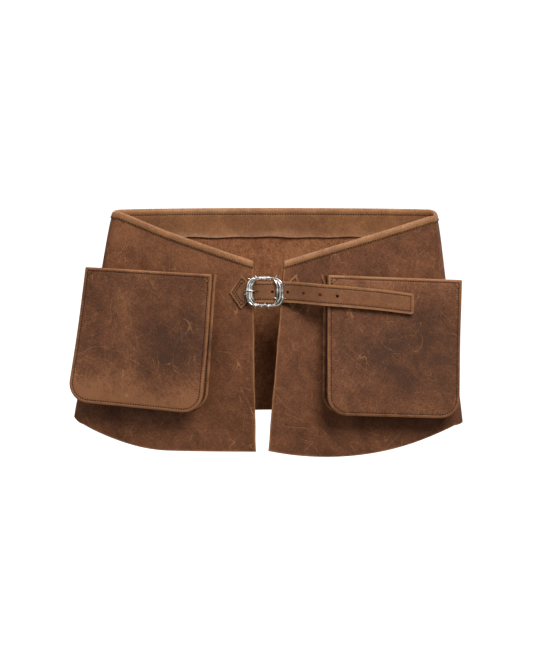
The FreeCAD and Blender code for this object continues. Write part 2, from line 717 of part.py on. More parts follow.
def make_tab():
    """One strip of leather, folded round the centre bar and sewn to the right front."""
    body = new_body("buckle_tab")
    x, y = f"-{size('bar_x')}", f"-{size('bar_y')}"
    bore = f"({size('bar_radius')} + {size('bar_clearance')})"
    outer = f"({bore} + {size('tab_leather')})"
    slope = f"tan({size('front_angle')} * 1 deg)"
    sewn_x, tip_x = size("tab_sewn_x"), size("tab_tip_x")
    sewn_back = f"-{size('tab_sewn_y')}"
    sewn_front = f"({sewn_back} - 2 * {size('tab_leather')} + {size('tab_squash')})"
    tip_rise = f"({tip_x} - {sewn_x}) * {slope}"
    corners = [
        (x, f"{y} + {outer}"),
        (x, f"{y} - {outer}"),
        (sewn_x, sewn_front),
        (tip_x, f"{sewn_front} + {tip_rise}"),
        (tip_x, f"{sewn_back} + {tip_rise}"),
        (sewn_x, sewn_back),
    ]
    spare = size("seam_gap")
    low = f"-{size('strap_level')} - {size('tab_peak_half')} - {spare}"
    plan = new_sketch(body, "plan", "XY_Plane", low)
    draw_outline(plan, corners, {0: (f"{outer} * {HALF_CIRCLE_SLACK}", -1)})
    draw_circle(plan, (x, y), bore)
    pad(body, plan, f"2 * ({size('tab_peak_half')} + {spare})")
    level, half = size("strap_level"), size("tab_half")
    peak, peak_x = size("tab_peak_half"), size("tab_peak_x")
    left, neck = f"{x} - {outer} - {spare}", f"{peak_x} - {size('tab_neck')}"
    outline = [
        (left, f"-{level} - {half}"),
        (neck, f"-{level} - {half}"),
        (peak_x, f"-{level} - {peak}"),
        (tip_x, f"-{level}"),
        (peak_x, f"-{level} + {peak}"),
        (neck, f"-{level} + {half}"),
        (left, f"-{level} + {half}"),
    ]
    trim_to(body, "outline", outline)
    slot = new_sketch(body, "slot", "XZ_Plane")
    slot_half = size("tab_slot_half")
    right = f"{x} + {size('tab_slot_reach')}"
    below, above = f"-{level} - {slot_half}", f"-{level} + {slot_half}"
    draw_outline(slot, [(left, below), (right, below), (right, above), (left, above)])
    cut_through(body, slot)


# ---------------------------------------------------------------- check and write

def check_and_write():
    DOC.recompute()
    failed = [item.Label for item in DOC.Objects if {"Invalid", "Error"} & set(item.State)]
    if failed:
        raise RuntimeError(f"not computed: {failed}")
    os.makedirs("parts", exist_ok=True)
    for body in PIECES:
        shape = body.Shape
        if shape.isNull() or not shape.isValid() or len(shape.Solids) != 1:
            raise RuntimeError(f"{body.Label} is not one good solid")
        shape.exportStep(f"parts/{body.Label}.step")
        box = shape.BoundBox
        sides = (box.XLength, box.YLength, box.ZLength)
        print(f"{body.Label}: {shape.Volume / 1000:.1f} cm3", [round(side, 1) for side in sides])


fill_sheet()
make_back()
make_bend("left", -1)
make_bend("right", 1)
make_left_front()
make_right_front()
make_front_band("left", -1, "0", size("left_top_arc"))
make_front_band("right", 1, size("right_top_drop"))
make_pocket("left", -1)
make_pocket("right", 1)
make_anchor()
make_strap()
make_buckle_frame()
make_centre_bar()
make_tongue()
make_tab()
check_and_write()
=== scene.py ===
import math

import bmesh
import bpy
import numpy as np
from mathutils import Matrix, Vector


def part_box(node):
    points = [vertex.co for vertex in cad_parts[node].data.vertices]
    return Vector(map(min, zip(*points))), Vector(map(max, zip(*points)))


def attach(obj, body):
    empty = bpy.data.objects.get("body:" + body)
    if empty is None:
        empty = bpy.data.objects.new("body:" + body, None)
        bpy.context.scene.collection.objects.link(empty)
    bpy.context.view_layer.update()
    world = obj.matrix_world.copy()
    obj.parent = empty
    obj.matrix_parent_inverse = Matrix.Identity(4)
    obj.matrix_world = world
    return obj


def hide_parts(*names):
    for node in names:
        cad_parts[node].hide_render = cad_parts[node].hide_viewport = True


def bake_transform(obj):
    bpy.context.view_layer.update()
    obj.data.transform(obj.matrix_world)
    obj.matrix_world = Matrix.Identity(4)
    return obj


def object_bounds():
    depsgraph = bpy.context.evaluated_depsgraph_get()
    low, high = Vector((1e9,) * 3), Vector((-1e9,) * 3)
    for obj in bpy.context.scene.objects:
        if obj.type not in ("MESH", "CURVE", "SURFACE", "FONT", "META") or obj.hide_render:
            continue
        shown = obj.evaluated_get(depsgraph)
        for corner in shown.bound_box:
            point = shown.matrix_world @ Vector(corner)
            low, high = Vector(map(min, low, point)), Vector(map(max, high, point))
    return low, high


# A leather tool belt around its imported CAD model. The geometry is worked out in
# millimetres and made in metres. -Y is the outside of the front and +Z is up. Left and
# right are as seen from the front, so left is at -X. "Drop" is the distance below the
# waist, and "run" the distance along a front from the side bend towards the middle.

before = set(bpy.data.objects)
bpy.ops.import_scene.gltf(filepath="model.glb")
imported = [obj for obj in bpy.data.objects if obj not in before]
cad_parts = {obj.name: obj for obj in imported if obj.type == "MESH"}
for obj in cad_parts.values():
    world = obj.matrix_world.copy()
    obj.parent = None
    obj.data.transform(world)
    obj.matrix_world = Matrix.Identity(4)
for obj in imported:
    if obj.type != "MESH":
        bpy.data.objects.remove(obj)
cad_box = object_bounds()

MM = 0.001
LEFT, RIGHT = -1, 1
GRAIN, FLESH, EDGE = 0, 1, 2
HOLE_LOOP = 40
FLUSH = 0.06
WEAR_REACH = 40.0

# ---- measures of the loop
WAIST_HALF = 235.5
BEND_RADIUS = 16.0
BEND_LIMIT = 0.95
TUCK = 12.0
NEAR_LEATHER = (3, 24)
BACK_DEPTH = 60.0
BACK_FLARE = 0.04
FRONT_ANGLE = math.radians(11.4)
LEATHER = 3.0
BACK_TOP = 0.4
BACK_HEM = 299.0
BACK_SHARE = 20.0
# flare is how far a side leans out for each mm of drop. The top edge has a start, a slope
# and a sag, and the inner edge a start and a slope. The hem has the run and drop of its
# lowest point and the radii of its arcs outside and inside it, and its drop at the corner.
# spring is how far the corner stands out at its foot, and pale the tone near the waist.
SIDES = {
    LEFT: {
        "name": "left",
        "flare": 0.173,
        "top": (5.4, 0.356, -0.00011),
        "inner": (196.0, 0.0206),
        "hem": (75.0, 343.0, 234.0, 5000.0),
        "corner": 300.0,
        "spring": 4.2,
        "pale": 0.2,
        "corner_lift": 2.2,
    },
    RIGHT: {
        "name": "right",
        "flare": 0.123,
        "top": (9.6, 0.2945, -0.00004),
        "inner": (213.4, 0.0907),
        "hem": (140.0, 351.0, 385.0, 415.0),
        "corner": 307.0,
        "spring": 0.8,
        "pale": -0.08,
        "corner_lift": 0.0,
    },
}


# ---- small helpers
def smooth(value, start, end):
    """0 before start, 1 after end, easing in between."""
    t = np.clip((value - start) / (end - start), 0.0, 1.0)
    return t * t * (3 - 2 * t)


def unit(vectors):
    return vectors / np.maximum(np.linalg.norm(vectors, axis=-1, keepdims=True), 1e-9)


def mix(a, b, share):
    return a + (b - a) * share


def hump(value, middle, width):
    """A smooth hump, 1 at its middle."""
    return np.exp(-(((value - middle) / width) ** 2))


def matched(*values):
    """The values as float arrays of one shape."""
    return np.broadcast_arrays(*(np.asarray(v, float) for v in values))


def lengths(line):
    """How far along a line of points each of them is."""
    return np.concatenate([[0], np.cumsum(np.linalg.norm(np.diff(line, axis=0), axis=1))])


def read_line(line, length, at):
    """The points of a line at the given distances along it."""
    return np.stack([np.interp(at, length, column) for column in np.asarray(line).T], axis=-1)


def left_of(along):
    """The direction to the left of each plane direction."""
    return np.stack([-along[..., 1], along[..., 0]], axis=-1)


def stack(x, y, z):
    return np.stack(np.broadcast_arrays(x, y, z), axis=-1).astype(float)


def spread(length, near, count):
    """Distances from 0 to length: fixed steps near both ends and count even ones between them."""
    length = np.asarray(length, float)[..., None]
    near = np.array(near, float)
    middle = np.linspace(0, 1, count + 1)[1:-1]
    first = np.broadcast_to(near, length.shape[:-1] + near.shape)
    between = near[-1] + (length - 2 * near[-1]) * middle
    return np.concatenate([first, between, (length - near)[..., ::-1]], axis=-1)


def curve_through(knots, x):
    """A smooth curve through the (x, value) knots, read at x."""
    at, value = np.array(knots, float).T
    slope = np.gradient(value, at)
    x = np.asarray(x, float)
    i = np.clip(np.searchsorted(at, x) - 1, 0, len(at) - 2)
    step = at[i + 1] - at[i]
    t = np.clip((x - at[i]) / step, 0, 1)
    return (
        value[i] * (1 + 2 * t) * (1 - t) ** 2
        + slope[i] * step * t * (1 - t) ** 2
        + value[i + 1] * t * t * (3 - 2 * t)
        + slope[i + 1] * step * t * t * (t - 1)
    )


def smooth_line(line, length, at):
    """A smooth curve through a line of plane points, read at the given distances along it."""
    return np.stack([curve_through(list(zip(length, line[:, k])), at) for k in (0, 1)], axis=-1)


# ---- the loop's surface
def back_arc(drop):
    """Half width, middle and radius of the back's arc, and its turn past the sides, at each drop."""
    left = WAIST_HALF - BEND_RADIUS + SIDES[LEFT]["flare"] * drop
    right = WAIST_HALF - BEND_RADIUS + SIDES[RIGHT]["flare"] * drop
    half, mid_x = (left + right) / 2, (right - left) / 2
    rise = BACK_DEPTH + BACK_FLARE * drop - BEND_RADIUS
    mid_y = (rise**2 - half**2) / (2 * rise)
    return half, mid_x, mid_y, rise - mid_y + BEND_RADIUS, np.arctan2(-mid_y, half)


def bend_length(drop):
    turn = back_arc(drop)[4] + math.pi / 2 - FRONT_ANGLE
    return BEND_RADIUS * turn


def back_length(drop):
    """Length of the back between its two bends."""
    radius, end = back_arc(drop)[3:]
    return radius * (math.pi - 2 * end)


def bare_wall(side, s, drop):
    """The loop's outer face. s is 0 at the end of the bend, positive along the front."""
    half, mid_x, mid_y, radius, end = back_arc(drop)
    centre = mid_x + side * half
    bend = bend_length(drop)
    turn = np.clip(-s, 0, bend) / BEND_RADIUS - math.pi / 2 + FRONT_ANGLE
    ahead = np.maximum(s, 0)
    x = centre + side * BEND_RADIUS * np.cos(turn) - side * ahead * math.cos(FRONT_ANGLE)
    y = BEND_RADIUS * np.sin(turn) - ahead * math.sin(FRONT_ANGLE)
    behind = end + (-s - bend) / radius
    on_back = -s > bend
    x = np.where(on_back, mid_x + side * radius * np.cos(behind), x)
    y = np.where(on_back, mid_y + radius * np.sin(behind), y)
    return stack(x, y, -drop)


def ripple(side, s, drop):
    """How far the leather stands off its plane: slow waves that grow towards the hem."""
    run = s - SIDES[side]["flare"] * drop
    ahead = 0.9 * np.sin(run / 41 + 1.1 * side) * np.sin(drop / 57 + 0.5)
    ahead = ahead + 1.7 * smooth(drop, 250, 345) * np.sin(run / 36 + 0.6 * side)
    behind = -s - BACK_SHARE - bend_length(drop)
    rest = back_length(drop) - 2 * BACK_SHARE - behind
    back = 1.3 * np.sin(behind / 61 + 0.4) * np.sin(drop / 83 + 0.3)
    back = back + 1.8 * smooth(drop, 200, 300) * np.sin(behind / 48)
    aside = np.abs(s + bend_length(drop) / 2)
    pinch = -2.6 * np.exp(-drop / 16) * (1 - smooth(aside, 10, 60))
    spring = SIDES[side]["spring"] * smooth(drop, 180, 290) * (1 - smooth(aside, 8, 85))
    return ahead * smooth(s, 0, 60) + back * smooth(behind, 0, 70) * smooth(rest, 0, 70) + pinch + spring


def wall(side, s, drop, out=0.0):
    """Points of the wavy wall, moved out along its normal, and that normal."""
    s, drop = matched(s, drop)
    here = bare_wall(side, s, drop)
    along = bare_wall(side, s + 0.5, drop) - bare_wall(side, s - 0.5, drop)
    down = bare_wall(side, s, drop + 0.5) - bare_wall(side, s, drop - 0.5)
    normal = unit(np.cross(along, down)) * side
    lift = ripple(side, s, drop) + out
    return here + normal * np.asarray(lift)[..., None], normal


def slant(side):
    """How much a front's bend leans outwards for each millimetre of drop."""
    return SIDES[side]["flare"] * math.cos(FRONT_ANGLE)


def front_plane(side):
    """A front's own plane: its corner, X to the right, the normal out of the leather, and up."""
    lean = SIDES[side]["flare"] * math.sin(FRONT_ANGLE)
    normal = unit(np.array([side * math.sin(FRONT_ANGLE), -math.cos(FRONT_ANGLE), lean]))
    across = np.array([math.cos(FRONT_ANGLE), side * math.sin(FRONT_ANGLE), 0.0])
    corner = bare_wall(side, np.array(0.0), np.array(0.0))
    return corner, across, normal, np.cross(normal, across)


FRONTS = {side: front_plane(side) for side in SIDES}


def front(side, u, w, n):
    """A point of a front's plane, n out of the leather. It follows the leather's waves and,
    near the leather, its bend, and what lies past the bend is tucked in against it."""
    u, w, n = matched(u, w, n)
    corner, across, normal, up = FRONTS[side]
    drop = -w * up[2]
    s = -side * u + slant(side) * drop
    near = 1 - smooth(n, *NEAR_LEATHER)
    over = np.maximum(-s - TUCK, 0.0) * near
    u, s = u - side * over, s + over
    past = np.clip(-s, 0, BEND_LIMIT * BEND_RADIUS)
    recess = BEND_RADIUS - np.sqrt(BEND_RADIUS**2 - past**2)
    lift = n + ripple(side, s, drop) - recess * near
    return corner + u[..., None] * across + w[..., None] * up + lift[..., None] * normal


# ---- outlines of the body leather
INNER_FROM = 69.5


def inner_run(side, drop):
    """How far the inner edge is from the side bend; its start is at the drop INNER_FROM."""
    start, slope = SIDES[side]["inner"]
    return start + slope * (drop - INNER_FROM) + 0.35 * np.sin(drop / 9.0) * np.sin(drop / 23.0)


def station(side, q, drop):
    """Distance along the wall: q is 1 at the inner edge, 0 and -1 at the ends of the bend."""
    reach = inner_run(side, drop) + slant(side) * drop
    bend = bend_length(drop)
    behind = -bend - (-q - 1) * BACK_SHARE
    return np.where(q >= 0, q * reach, np.where(q >= -1, q * bend, behind))


def top_and_hem(side, q):
    """Drops of the top edge and the hem at q."""
    start, slope, sag = SIDES[side]["top"]
    flat_run, flat_drop, outer_arc, inner_arc = SIDES[side]["hem"]
    ahead = np.maximum(q, 0.0)
    top, hem = np.full_like(ahead, 40.0), np.full_like(ahead, 330.0)
    for _ in range(6):
        run = station(side, ahead, top) - slant(side) * top
        top = start + slope * run + sag * run * np.abs(run)
        top = top - SIDES[side]["corner_lift"] * (1 - smooth(run, 5, 75))
        run = station(side, ahead, hem) - slant(side) * hem
        arc = np.where(run < flat_run, outer_arc, inner_arc)
        hem = flat_drop - (run - flat_run) ** 2 / (2 * arc)
    hem = mix(hem, SIDES[side]["corner"], smooth(-q, -0.06, 0.5))
    return mix(top, BACK_TOP, smooth(-q, 0.0, 1.0)), mix(hem, BACK_HEM, smooth(-q, 0.45, 1.0))


# ---- meshes
class Skin:
    """Collects points, faces and their finishes for one piece."""

    def __init__(self):
        self.points, self.faces, self.finish = [], [], []
        self.wear, self.tone, self.seam = [], [], []
        self.total = 0

    def add(self, points, faces, finish=GRAIN, wear=30.0, tone=0.5, seam=0.0):
        points = np.asarray(points, float).reshape(-1, 3)
        faces = np.asarray(faces) + self.total
        self.points.append(points)
        self.faces += faces.tolist()
        self.finish += np.broadcast_to(finish, len(faces)).tolist()
        for values, value in ((self.wear, wear), (self.tone, tone), (self.seam, seam)):
            values.append(np.broadcast_to(value, len(points)))
        self.total += len(points)

    def piece(self, name, *materials):
        mesh = bpy.data.meshes.new(name)
        points = np.concatenate(self.points) * MM
        mesh.from_pydata(points.tolist(), [], self.faces)
        mesh.polygons.foreach_set("material_index", self.finish)
        mesh.polygons.foreach_set("use_smooth", [True] * len(self.faces))
        for label, values in (("wear", self.wear), ("tone", self.tone), ("seam", self.seam)):
            attribute = mesh.attributes.new(label, "FLOAT", "POINT")
            attribute.data.foreach_set("value", np.concatenate(values).astype(np.float32))
        rest = mesh.attributes.new("rest", "FLOAT_VECTOR", "POINT")
        rest.data.foreach_set("vector", points.astype(np.float32).ravel())
        for material in materials:
            mesh.materials.append(material)
        draft = bmesh.new()
        draft.from_mesh(mesh)
        bmesh.ops.recalc_face_normals(draft, faces=draft.faces)
        draft.to_mesh(mesh)
        draft.free()
        thing = bpy.data.objects.new(name, mesh)
        bpy.context.scene.collection.objects.link(thing)
        return thing


def grid_quads(rows, columns, wrap=False):
    """Quads of a grid of points, row by row. wrap joins the last column to the first."""
    across = np.arange(columns if wrap else columns - 1)
    row, column = np.meshgrid(np.arange(rows - 1), across, indexing="ij")
    beside = (column + 1) % columns
    corners = (
        row * columns + column,
        row * columns + beside,
        (row + 1) * columns + beside,
        (row + 1) * columns + column,
    )
    return np.stack(corners, axis=-1).reshape(-1, 4)


def point_normals(points, quads):
    a, b, c, d = (points[quads[:, k]] for k in range(4))
    face = np.cross(c - a, d - b)
    normals = np.zeros_like(points)
    for k in range(4):
        np.add.at(normals, quads[:, k], face)
    return unit(normals)


def border_loops(quads):
    """Closed loops of border points, each with the surface on its left."""
    edges = {tuple(e) for k in range(4) for e in quads[:, [k, (k + 1) % 4]].tolist()}
    follow = {a: b for a, b in edges if (b, a) not in edges}
    loops = []
    while follow:
        loop = [min(follow)]
        while loop[-1] in follow:
            loop.append(follow.pop(loop[-1]))
        loops.append(np.array(loop[:-1]))
    return sorted(loops, key=len, reverse=True)


def border_distance(points, loop, joined):
    """Distance of each point to the border, where it isn't joined to the next piece."""
    best = np.full(len(points), WEAR_REACH)
    start = points[loop]
    step = np.roll(start, -1, axis=0) - start
    free = ~(joined[loop] & np.roll(joined[loop], -1))
    for a, d in zip(start[free], step[free]):
        t = np.clip((points - a) @ d / max(d @ d, 1e-9), 0, 1)
        best = np.minimum(best, np.linalg.norm(points - a - t[:, None] * d, axis=1))
    return best


def shell(skin, points, quads, thickness, facing, rounding=0.8, tone=0.5, seam=0.0, joined=False):
    """A closed sheet of leather with rounded rims: points are its outer face. Joined points
    meet the next stretch of the same leather, flush and unworn."""
    points = np.asarray(points, float).reshape(-1, 3)
    normals = point_normals(points, quads)
    if (normals * facing).sum() < 0:
        quads, normals = quads[:, ::-1], -normals
    thickness = np.broadcast_to(thickness, len(points)).astype(float)
    loops = border_loops(quads)
    joined = np.broadcast_to(joined, len(points))
    wear = border_distance(points, loops[0], joined)
    rounding = np.where(joined, FLUSH, rounding)
    tone, seam = (np.broadcast_to(v, len(points)) for v in (tone, seam))
    outer, inner = points.copy(), points - normals * thickness[:, None]
    rims = []
    for loop in loops:
        base, out_of_face, deep = points[loop], normals[loop], thickness[loop][:, None]
        tangent = np.roll(base, -1, axis=0) - np.roll(base, 1, axis=0)
        outward = unit(np.cross(tangent, out_of_face))
        round_off = rounding[loop][:, None]
        outer[loop] -= outward * round_off
        inner[loop] -= outward * round_off
        rows = []
        for angle in (30, 60, 90, 90, 60, 30):
            turn = math.radians(angle)
            drop = round_off * (1 - math.cos(turn))
            drop = drop if len(rows) < 3 else deep - drop
            rows.append(base - outward * round_off * (1 - math.sin(turn)) - out_of_face * drop)
        rims.append(np.concatenate(rows))
    count, start = len(points), skin.total
    skin.add(outer, quads, GRAIN, wear, tone, seam)
    skin.add(inner, quads[:, ::-1], FLESH, wear, tone, 0.0)
    for loop, rim in zip(loops, rims):
        size = len(loop)
        first = skin.total
        rows = [start + loop]
        rows += [first + np.arange(k * size, (k + 1) * size) for k in range(6)]
        rows += [start + count + loop]
        faces = []
        for upper, lower in zip(rows, rows[1:]):
            after = (np.roll(upper, -1), np.roll(lower, -1))
            faces.append(np.stack([upper, lower, after[1], after[0]], axis=-1))
        # the rims of small loops are the walls of holes: their seam value of 1 makes the edge material
        # paint them almost black, painted shade inside the holes
        dark = 1.0 if size < HOLE_LOOP else 0.0
        skin.add(rim, np.concatenate(faces) - first, EDGE, 0.0, np.tile(tone[loop], 6), dark)


def strip_ring(section, half):
    """The closed outline of a strip of leather whose middle line is section."""
    section = np.asarray(section, float)
    tangent = unit(np.gradient(section, axis=0))
    aside = left_of(tangent) * half
    start = section[0] - tangent[0] * half * 0.4
    end = section[-1] + tangent[-1] * half * 0.4
    tips = [end + aside[-1] * 0.6, end - aside[-1] * 0.6]
    sides = [section + aside, tips, (section - aside)[::-1]]
    return np.concatenate([[start + aside[0] * 0.6], *sides, [start - aside[0] * 0.6]])


def tube(skin, rings, finish, seam, wear=30.0, tone=0.5):
    """A closed tube through rings (columns, points of a ring, 3), with both ends closed."""
    columns, size = rings.shape[:2]
    finishes = np.tile(np.broadcast_to(finish, size), columns - 1)
    values = [np.tile(np.broadcast_to(v, size), columns) for v in (wear, tone, seam)]
    skin.add(rings, grid_quads(columns, size, wrap=True), finishes, *values)
    cap = [[k, k + 1, size - 2 - k, size - 1 - k] for k in range(size // 2 - 1)]
    for column in (0, columns - 1):
        skin.add(rings[column], cap, EDGE, 0.0)


# ---- thread
STITCH_PITCH = 3.7
STITCH_LENGTH = 2.3
STITCH_RADIUS = 0.85
STITCH_LIFT = 0.25


def stitch_shape():
    """Points and quads of one stitch along X, its ends dipping into the leather."""
    sides, stops = 6, (-1.0, -0.92, -0.6, 0.0, 0.6, 0.92, 1.0)
    girth = (0.25, 0.7, 1.0, 1.0, 1.0, 0.7, 0.25)
    points = []
    for stop, wide in zip(stops, girth):
        for k in range(sides):
            turn = 2 * math.pi * k / sides
            rise = wide * math.sin(turn) * STITCH_RADIUS - 0.45 * stop * stop
            points.append((stop * STITCH_LENGTH / 2, wide * math.cos(turn) * STITCH_RADIUS, rise))
    return np.array(points), grid_quads(len(stops), sides, wrap=True)


def stitch_row(skin, line, normals, lift=STITCH_LIFT):
    """Stitches along a line of points on a surface."""
    length = lengths(line)
    count = max(2, round(length[-1] / STITCH_PITCH))
    at = (np.arange(count) + 0.5) * length[-1] / count
    place = read_line(line, length, at)
    along = unit(read_line(line, length, at + 0.8) - read_line(line, length, at - 0.8))
    up = unit(read_line(normals, length, at))
    up = unit(up - along * (up * along).sum(-1, keepdims=True))
    aside = np.cross(up, along)
    shape, quads = stitch_shape()
    points = (
        place[:, None]
        + shape[None, :, :1] * along[:, None]
        + shape[None, :, 1:2] * aside[:, None]
        + (shape[None, :, 2:] + lift) * up[:, None]
    )
    size = len(shape)
    faces = (np.arange(count)[:, None, None] * size + quads[None]).reshape(-1, 4)
    skin.add(points, faces)
    ends = []
    for k in range(count):
        for first in (0, size - 6):
            ends.append([k * size + first + i for i in (0, 1, 2, 3)])
            ends.append([k * size + first + i for i in (0, 3, 4, 5)])
    skin.faces += (np.array(ends) + skin.total - count * size).tolist()
    skin.finish += [GRAIN] * len(ends)


# ---- materials
class Graph:
    """The node tree of a material or a world, built by short calls."""

    def __init__(self, owner, output="OutputMaterial"):
        self.owner = owner
        owner.use_nodes = True
        self.tree = owner.node_tree
        self.tree.nodes.clear()
        self.output = self.tree.nodes.new("ShaderNode" + output)

    def put(self, socket, value):
        if isinstance(value, bpy.types.NodeSocket):
            self.tree.links.new(value, socket)
        else:
            socket.default_value = value

    def node(self, kind, inputs=(), out=0, **settings):
        made = self.tree.nodes.new("ShaderNode" + kind)
        for key, value in settings.items():
            setattr(made, key, value)
        for key, value in dict(inputs).items():
            self.put(made.inputs[key], value)
        return made.outputs[out]

    def value(self, name):
        return self.node("Attribute", out="Fac", attribute_name=name)

    def place(self, scale=(1, 1, 1), turn=(0, 0, 0)):
        """Places turned first and then scaled, so a stretched texture follows the turn."""
        rest = self.node("Attribute", out="Vector", attribute_name="rest")
        turned = self.node("Mapping", {"Vector": rest, "Rotation": [math.radians(a) for a in turn]})
        return self.node("Mapping", {"Vector": turned, "Scale": scale})

    def noise(self, place, scale, detail, rough=0.6, distort=0.0):
        settings = {"Vector": place, "Scale": scale, "Detail": detail}
        settings |= {"Roughness": rough, "Distortion": distort}
        return self.node("TexNoise", settings)

    def math(self, operation, a, b=0.0):
        return self.node("Math", {0: a, 1: b}, operation=operation)

    def total(self, *parts):
        """The sum of (value, share) parts."""
        summed = None
        for value, share in parts:
            part = self.math("MULTIPLY", value, share)
            summed = part if summed is None else self.math("ADD", summed, part)
        return summed

    def ramp(self, value, low, high, start=0.0, end=1.0):
        settings = {"Value": value, "From Min": low, "From Max": high}
        settings |= {"To Min": start, "To Max": end}
        return self.node("MapRange", settings, interpolation_type="SMOOTHSTEP")

    def colour(self, value, *stops):
        made = self.tree.nodes.new("ShaderNodeValToRGB")
        while len(made.color_ramp.elements) < len(stops):
            made.color_ramp.elements.new(0.5)
        for element, (at, shade) in zip(made.color_ramp.elements, stops):
            element.position = at
            element.color = shade + (1,)
        self.put(made.inputs["Fac"], value)
        return made.outputs["Color"]

    def blend(self, share, a, b):
        a, b = (c + (1,) if isinstance(c, tuple) else c for c in (a, b))
        return self.node("Mix", {0: share, 6: a, 7: b}, out=2, data_type="RGBA")

    def bump(self, height, distance, strength):
        """The normal of a relief, its distance in metres."""
        return self.node("Bump", {"Height": height, "Distance": distance, "Strength": strength})

    def finish(self, **values):
        inputs = {key.replace("_", " "): value for key, value in values.items()}
        self.put(self.output.inputs["Surface"], self.node("BsdfPrincipled", inputs))
        return self.owner


def new_graph(name):
    return Graph(bpy.data.materials.new(name))


def tint(red, green, blue):
    """An sRGB colour of 0 to 255 in linear light."""
    return tuple(((c / 255 + 0.055) / 1.055) ** 2.4 for c in (red, green, blue))


# the noise's scale, the line's width and the turn in degrees of each set
SCRATCHES = ((26, 0.0021, 24), (34, 0.0026, -47), (30, 0.0024, 71), (47, 0.0034, -8), (64, 0.0046, 50))


def scratches(graph):
    """Fine curved marks: thin level lines of stretched noise, broken up by more noise."""
    found = None
    for scale, width, turn in SCRATCHES:
        place = graph.place((1.0, 1.0, 0.36), (0, turn, 0))
        line = graph.math("SUBTRACT", graph.noise(place, scale, 0.0, 0.3, 0.0), 0.5)
        line = graph.ramp(graph.math("ABSOLUTE", line), 0.0, width * 2, 1.0, 0.0)
        where = graph.noise(graph.place(turn=(turn, 0, 2 * turn)), 24.0, 4.0, 0.8)
        line = graph.math("MULTIPLY", line, graph.ramp(where, 0.5, 0.62))
        found = line if found is None else graph.math("MAXIMUM", found, line)
    return found


def pull_up(graph):
    """Streaks of paler and darker wax, fine and crossing at several angles."""
    streaks = []
    for turn, weight in ((48, 0.36), (-34, 0.36), (82, 0.28)):
        place = graph.place((330, 330, 85), (0, turn, 0))
        streaks.append((graph.noise(place, 1.0, 4.0, 0.72, 0.35), weight))
    return graph.total(*streaks)


def leather_material(name, tints, marks=1.0, contrast=1.0, rough=0.6, shine=0.16):
    """Oiled pull-up leather: clouds of tone, streaks, scratches, specks and pores. The tints
    are its dark, middle, light and worn one."""
    dark, middle, light, worn = (tint(*t) for t in tints)
    graph = new_graph(name)
    plain = graph.place()
    clouds = graph.noise(plain, 10.0, 4.0, 0.6, 0.9)
    patches = graph.noise(graph.place((1, 1, 0.75), (0, 40, 0)), 34.0, 6.0, 0.68, 0.6)
    streaks = pull_up(graph)
    specks = graph.noise(plain, 520.0, 3.0, 0.7)
    pores = graph.noise(plain, 1500.0, 2.0, 0.6)
    shift = graph.math("SUBTRACT", graph.value("tone"), 0.5)
    field = graph.total((clouds, 0.2), (patches, 0.22), (streaks, 0.28), (specks, 0.3), (shift, 0.24))
    reach = 0.085 / contrast
    colour = graph.colour(field, (0.5 - reach, dark), (0.5, middle), (0.5 + reach, light))
    mark = graph.math("MULTIPLY", scratches(graph), 0.6 * marks)
    colour = graph.blend(mark, colour, worn)
    edge = graph.ramp(graph.value("wear"), 0.0, 3.2, 1.0, 0.0)
    edge = graph.math("MULTIPLY", edge, graph.ramp(patches, 0.35, 0.6, 0.2, 0.7))
    colour = graph.blend(edge, colour, worn)
    fleck = graph.ramp(graph.noise(plain, 240.0, 2.0, 0.5), 0.66, 0.74, 0.0, 0.4)
    colour = graph.blend(fleck, colour, dark)
    colour = graph.blend(graph.math("MULTIPLY", graph.value("seam"), 0.32), colour, tint(34, 19, 12))
    height = graph.total((pores, 0.45), (specks, 0.8), (streaks, 0.7), (mark, -0.5))
    bump = graph.bump(height, 0.0006, 0.5)
    gloss = graph.ramp(field, 0.42, 0.6, rough + 0.08, rough - 0.08)
    return graph.finish(Base_Color=colour, Roughness=gloss, Normal=bump, Specular_IOR_Level=shine)


def flesh_material(name, dark, light):
    """The fibrous flesh side: short nap with darker flecks."""
    graph = new_graph(name)
    plain = graph.place()
    nap = graph.noise(plain, 520.0, 5.0, 0.75, 0.6)
    clumps = graph.noise(plain, 130.0, 4.0, 0.7)
    clouds = graph.noise(plain, 17.0, 3.0, 0.6)
    field = graph.total((nap, 0.42), (clumps, 0.33), (clouds, 0.25))
    colour = graph.colour(field, (0.39, dark), (0.57, light))
    flecks = graph.ramp(graph.noise(plain, 300.0, 3.0, 0.6), 0.56, 0.68, 0.0, 0.5)
    colour = graph.blend(flecks, colour, dark)
    bump = graph.bump(nap, 0.0011, 0.8)
    return graph.finish(Base_Color=colour, Roughness=0.95, Normal=bump, Specular_IOR_Level=0.2)


def edge_material(name, dark, light):
    """A cut edge: layered fibres, lighter than the face."""
    graph = new_graph(name)
    fibres = graph.noise(graph.place(turn=(20, 0, 10)), 900.0, 4.0, 0.7, 0.5)
    patches = graph.noise(graph.place(), 90.0, 3.0, 0.6)
    field = graph.total((fibres, 0.6), (patches, 0.4))
    colour = graph.colour(field, (0.36, dark), (0.6, light))
    # where the seam value is 1, on the walls of holes, this paints the edge almost black: painted shade
    colour = graph.blend(graph.value("seam"), colour, tint(22, 13, 9))
    bump = graph.bump(fibres, 0.0006, 0.7)
    return graph.finish(Base_Color=colour, Roughness=0.8, Normal=bump, Specular_IOR_Level=0.25)


def thread_material():
    graph = new_graph("waxed_thread")
    place = graph.place(turn=(0, 35, 20))
    twist = graph.node("TexWave", {"Vector": place, "Scale": 900.0, "Distortion": 0.6})
    colour = graph.blend(twist, tint(30, 14, 8), tint(52, 29, 17))
    bump = graph.bump(twist, 0.0002, 0.6)
    return graph.finish(Base_Color=colour, Roughness=0.7, Normal=bump, Specular_IOR_Level=0.2)


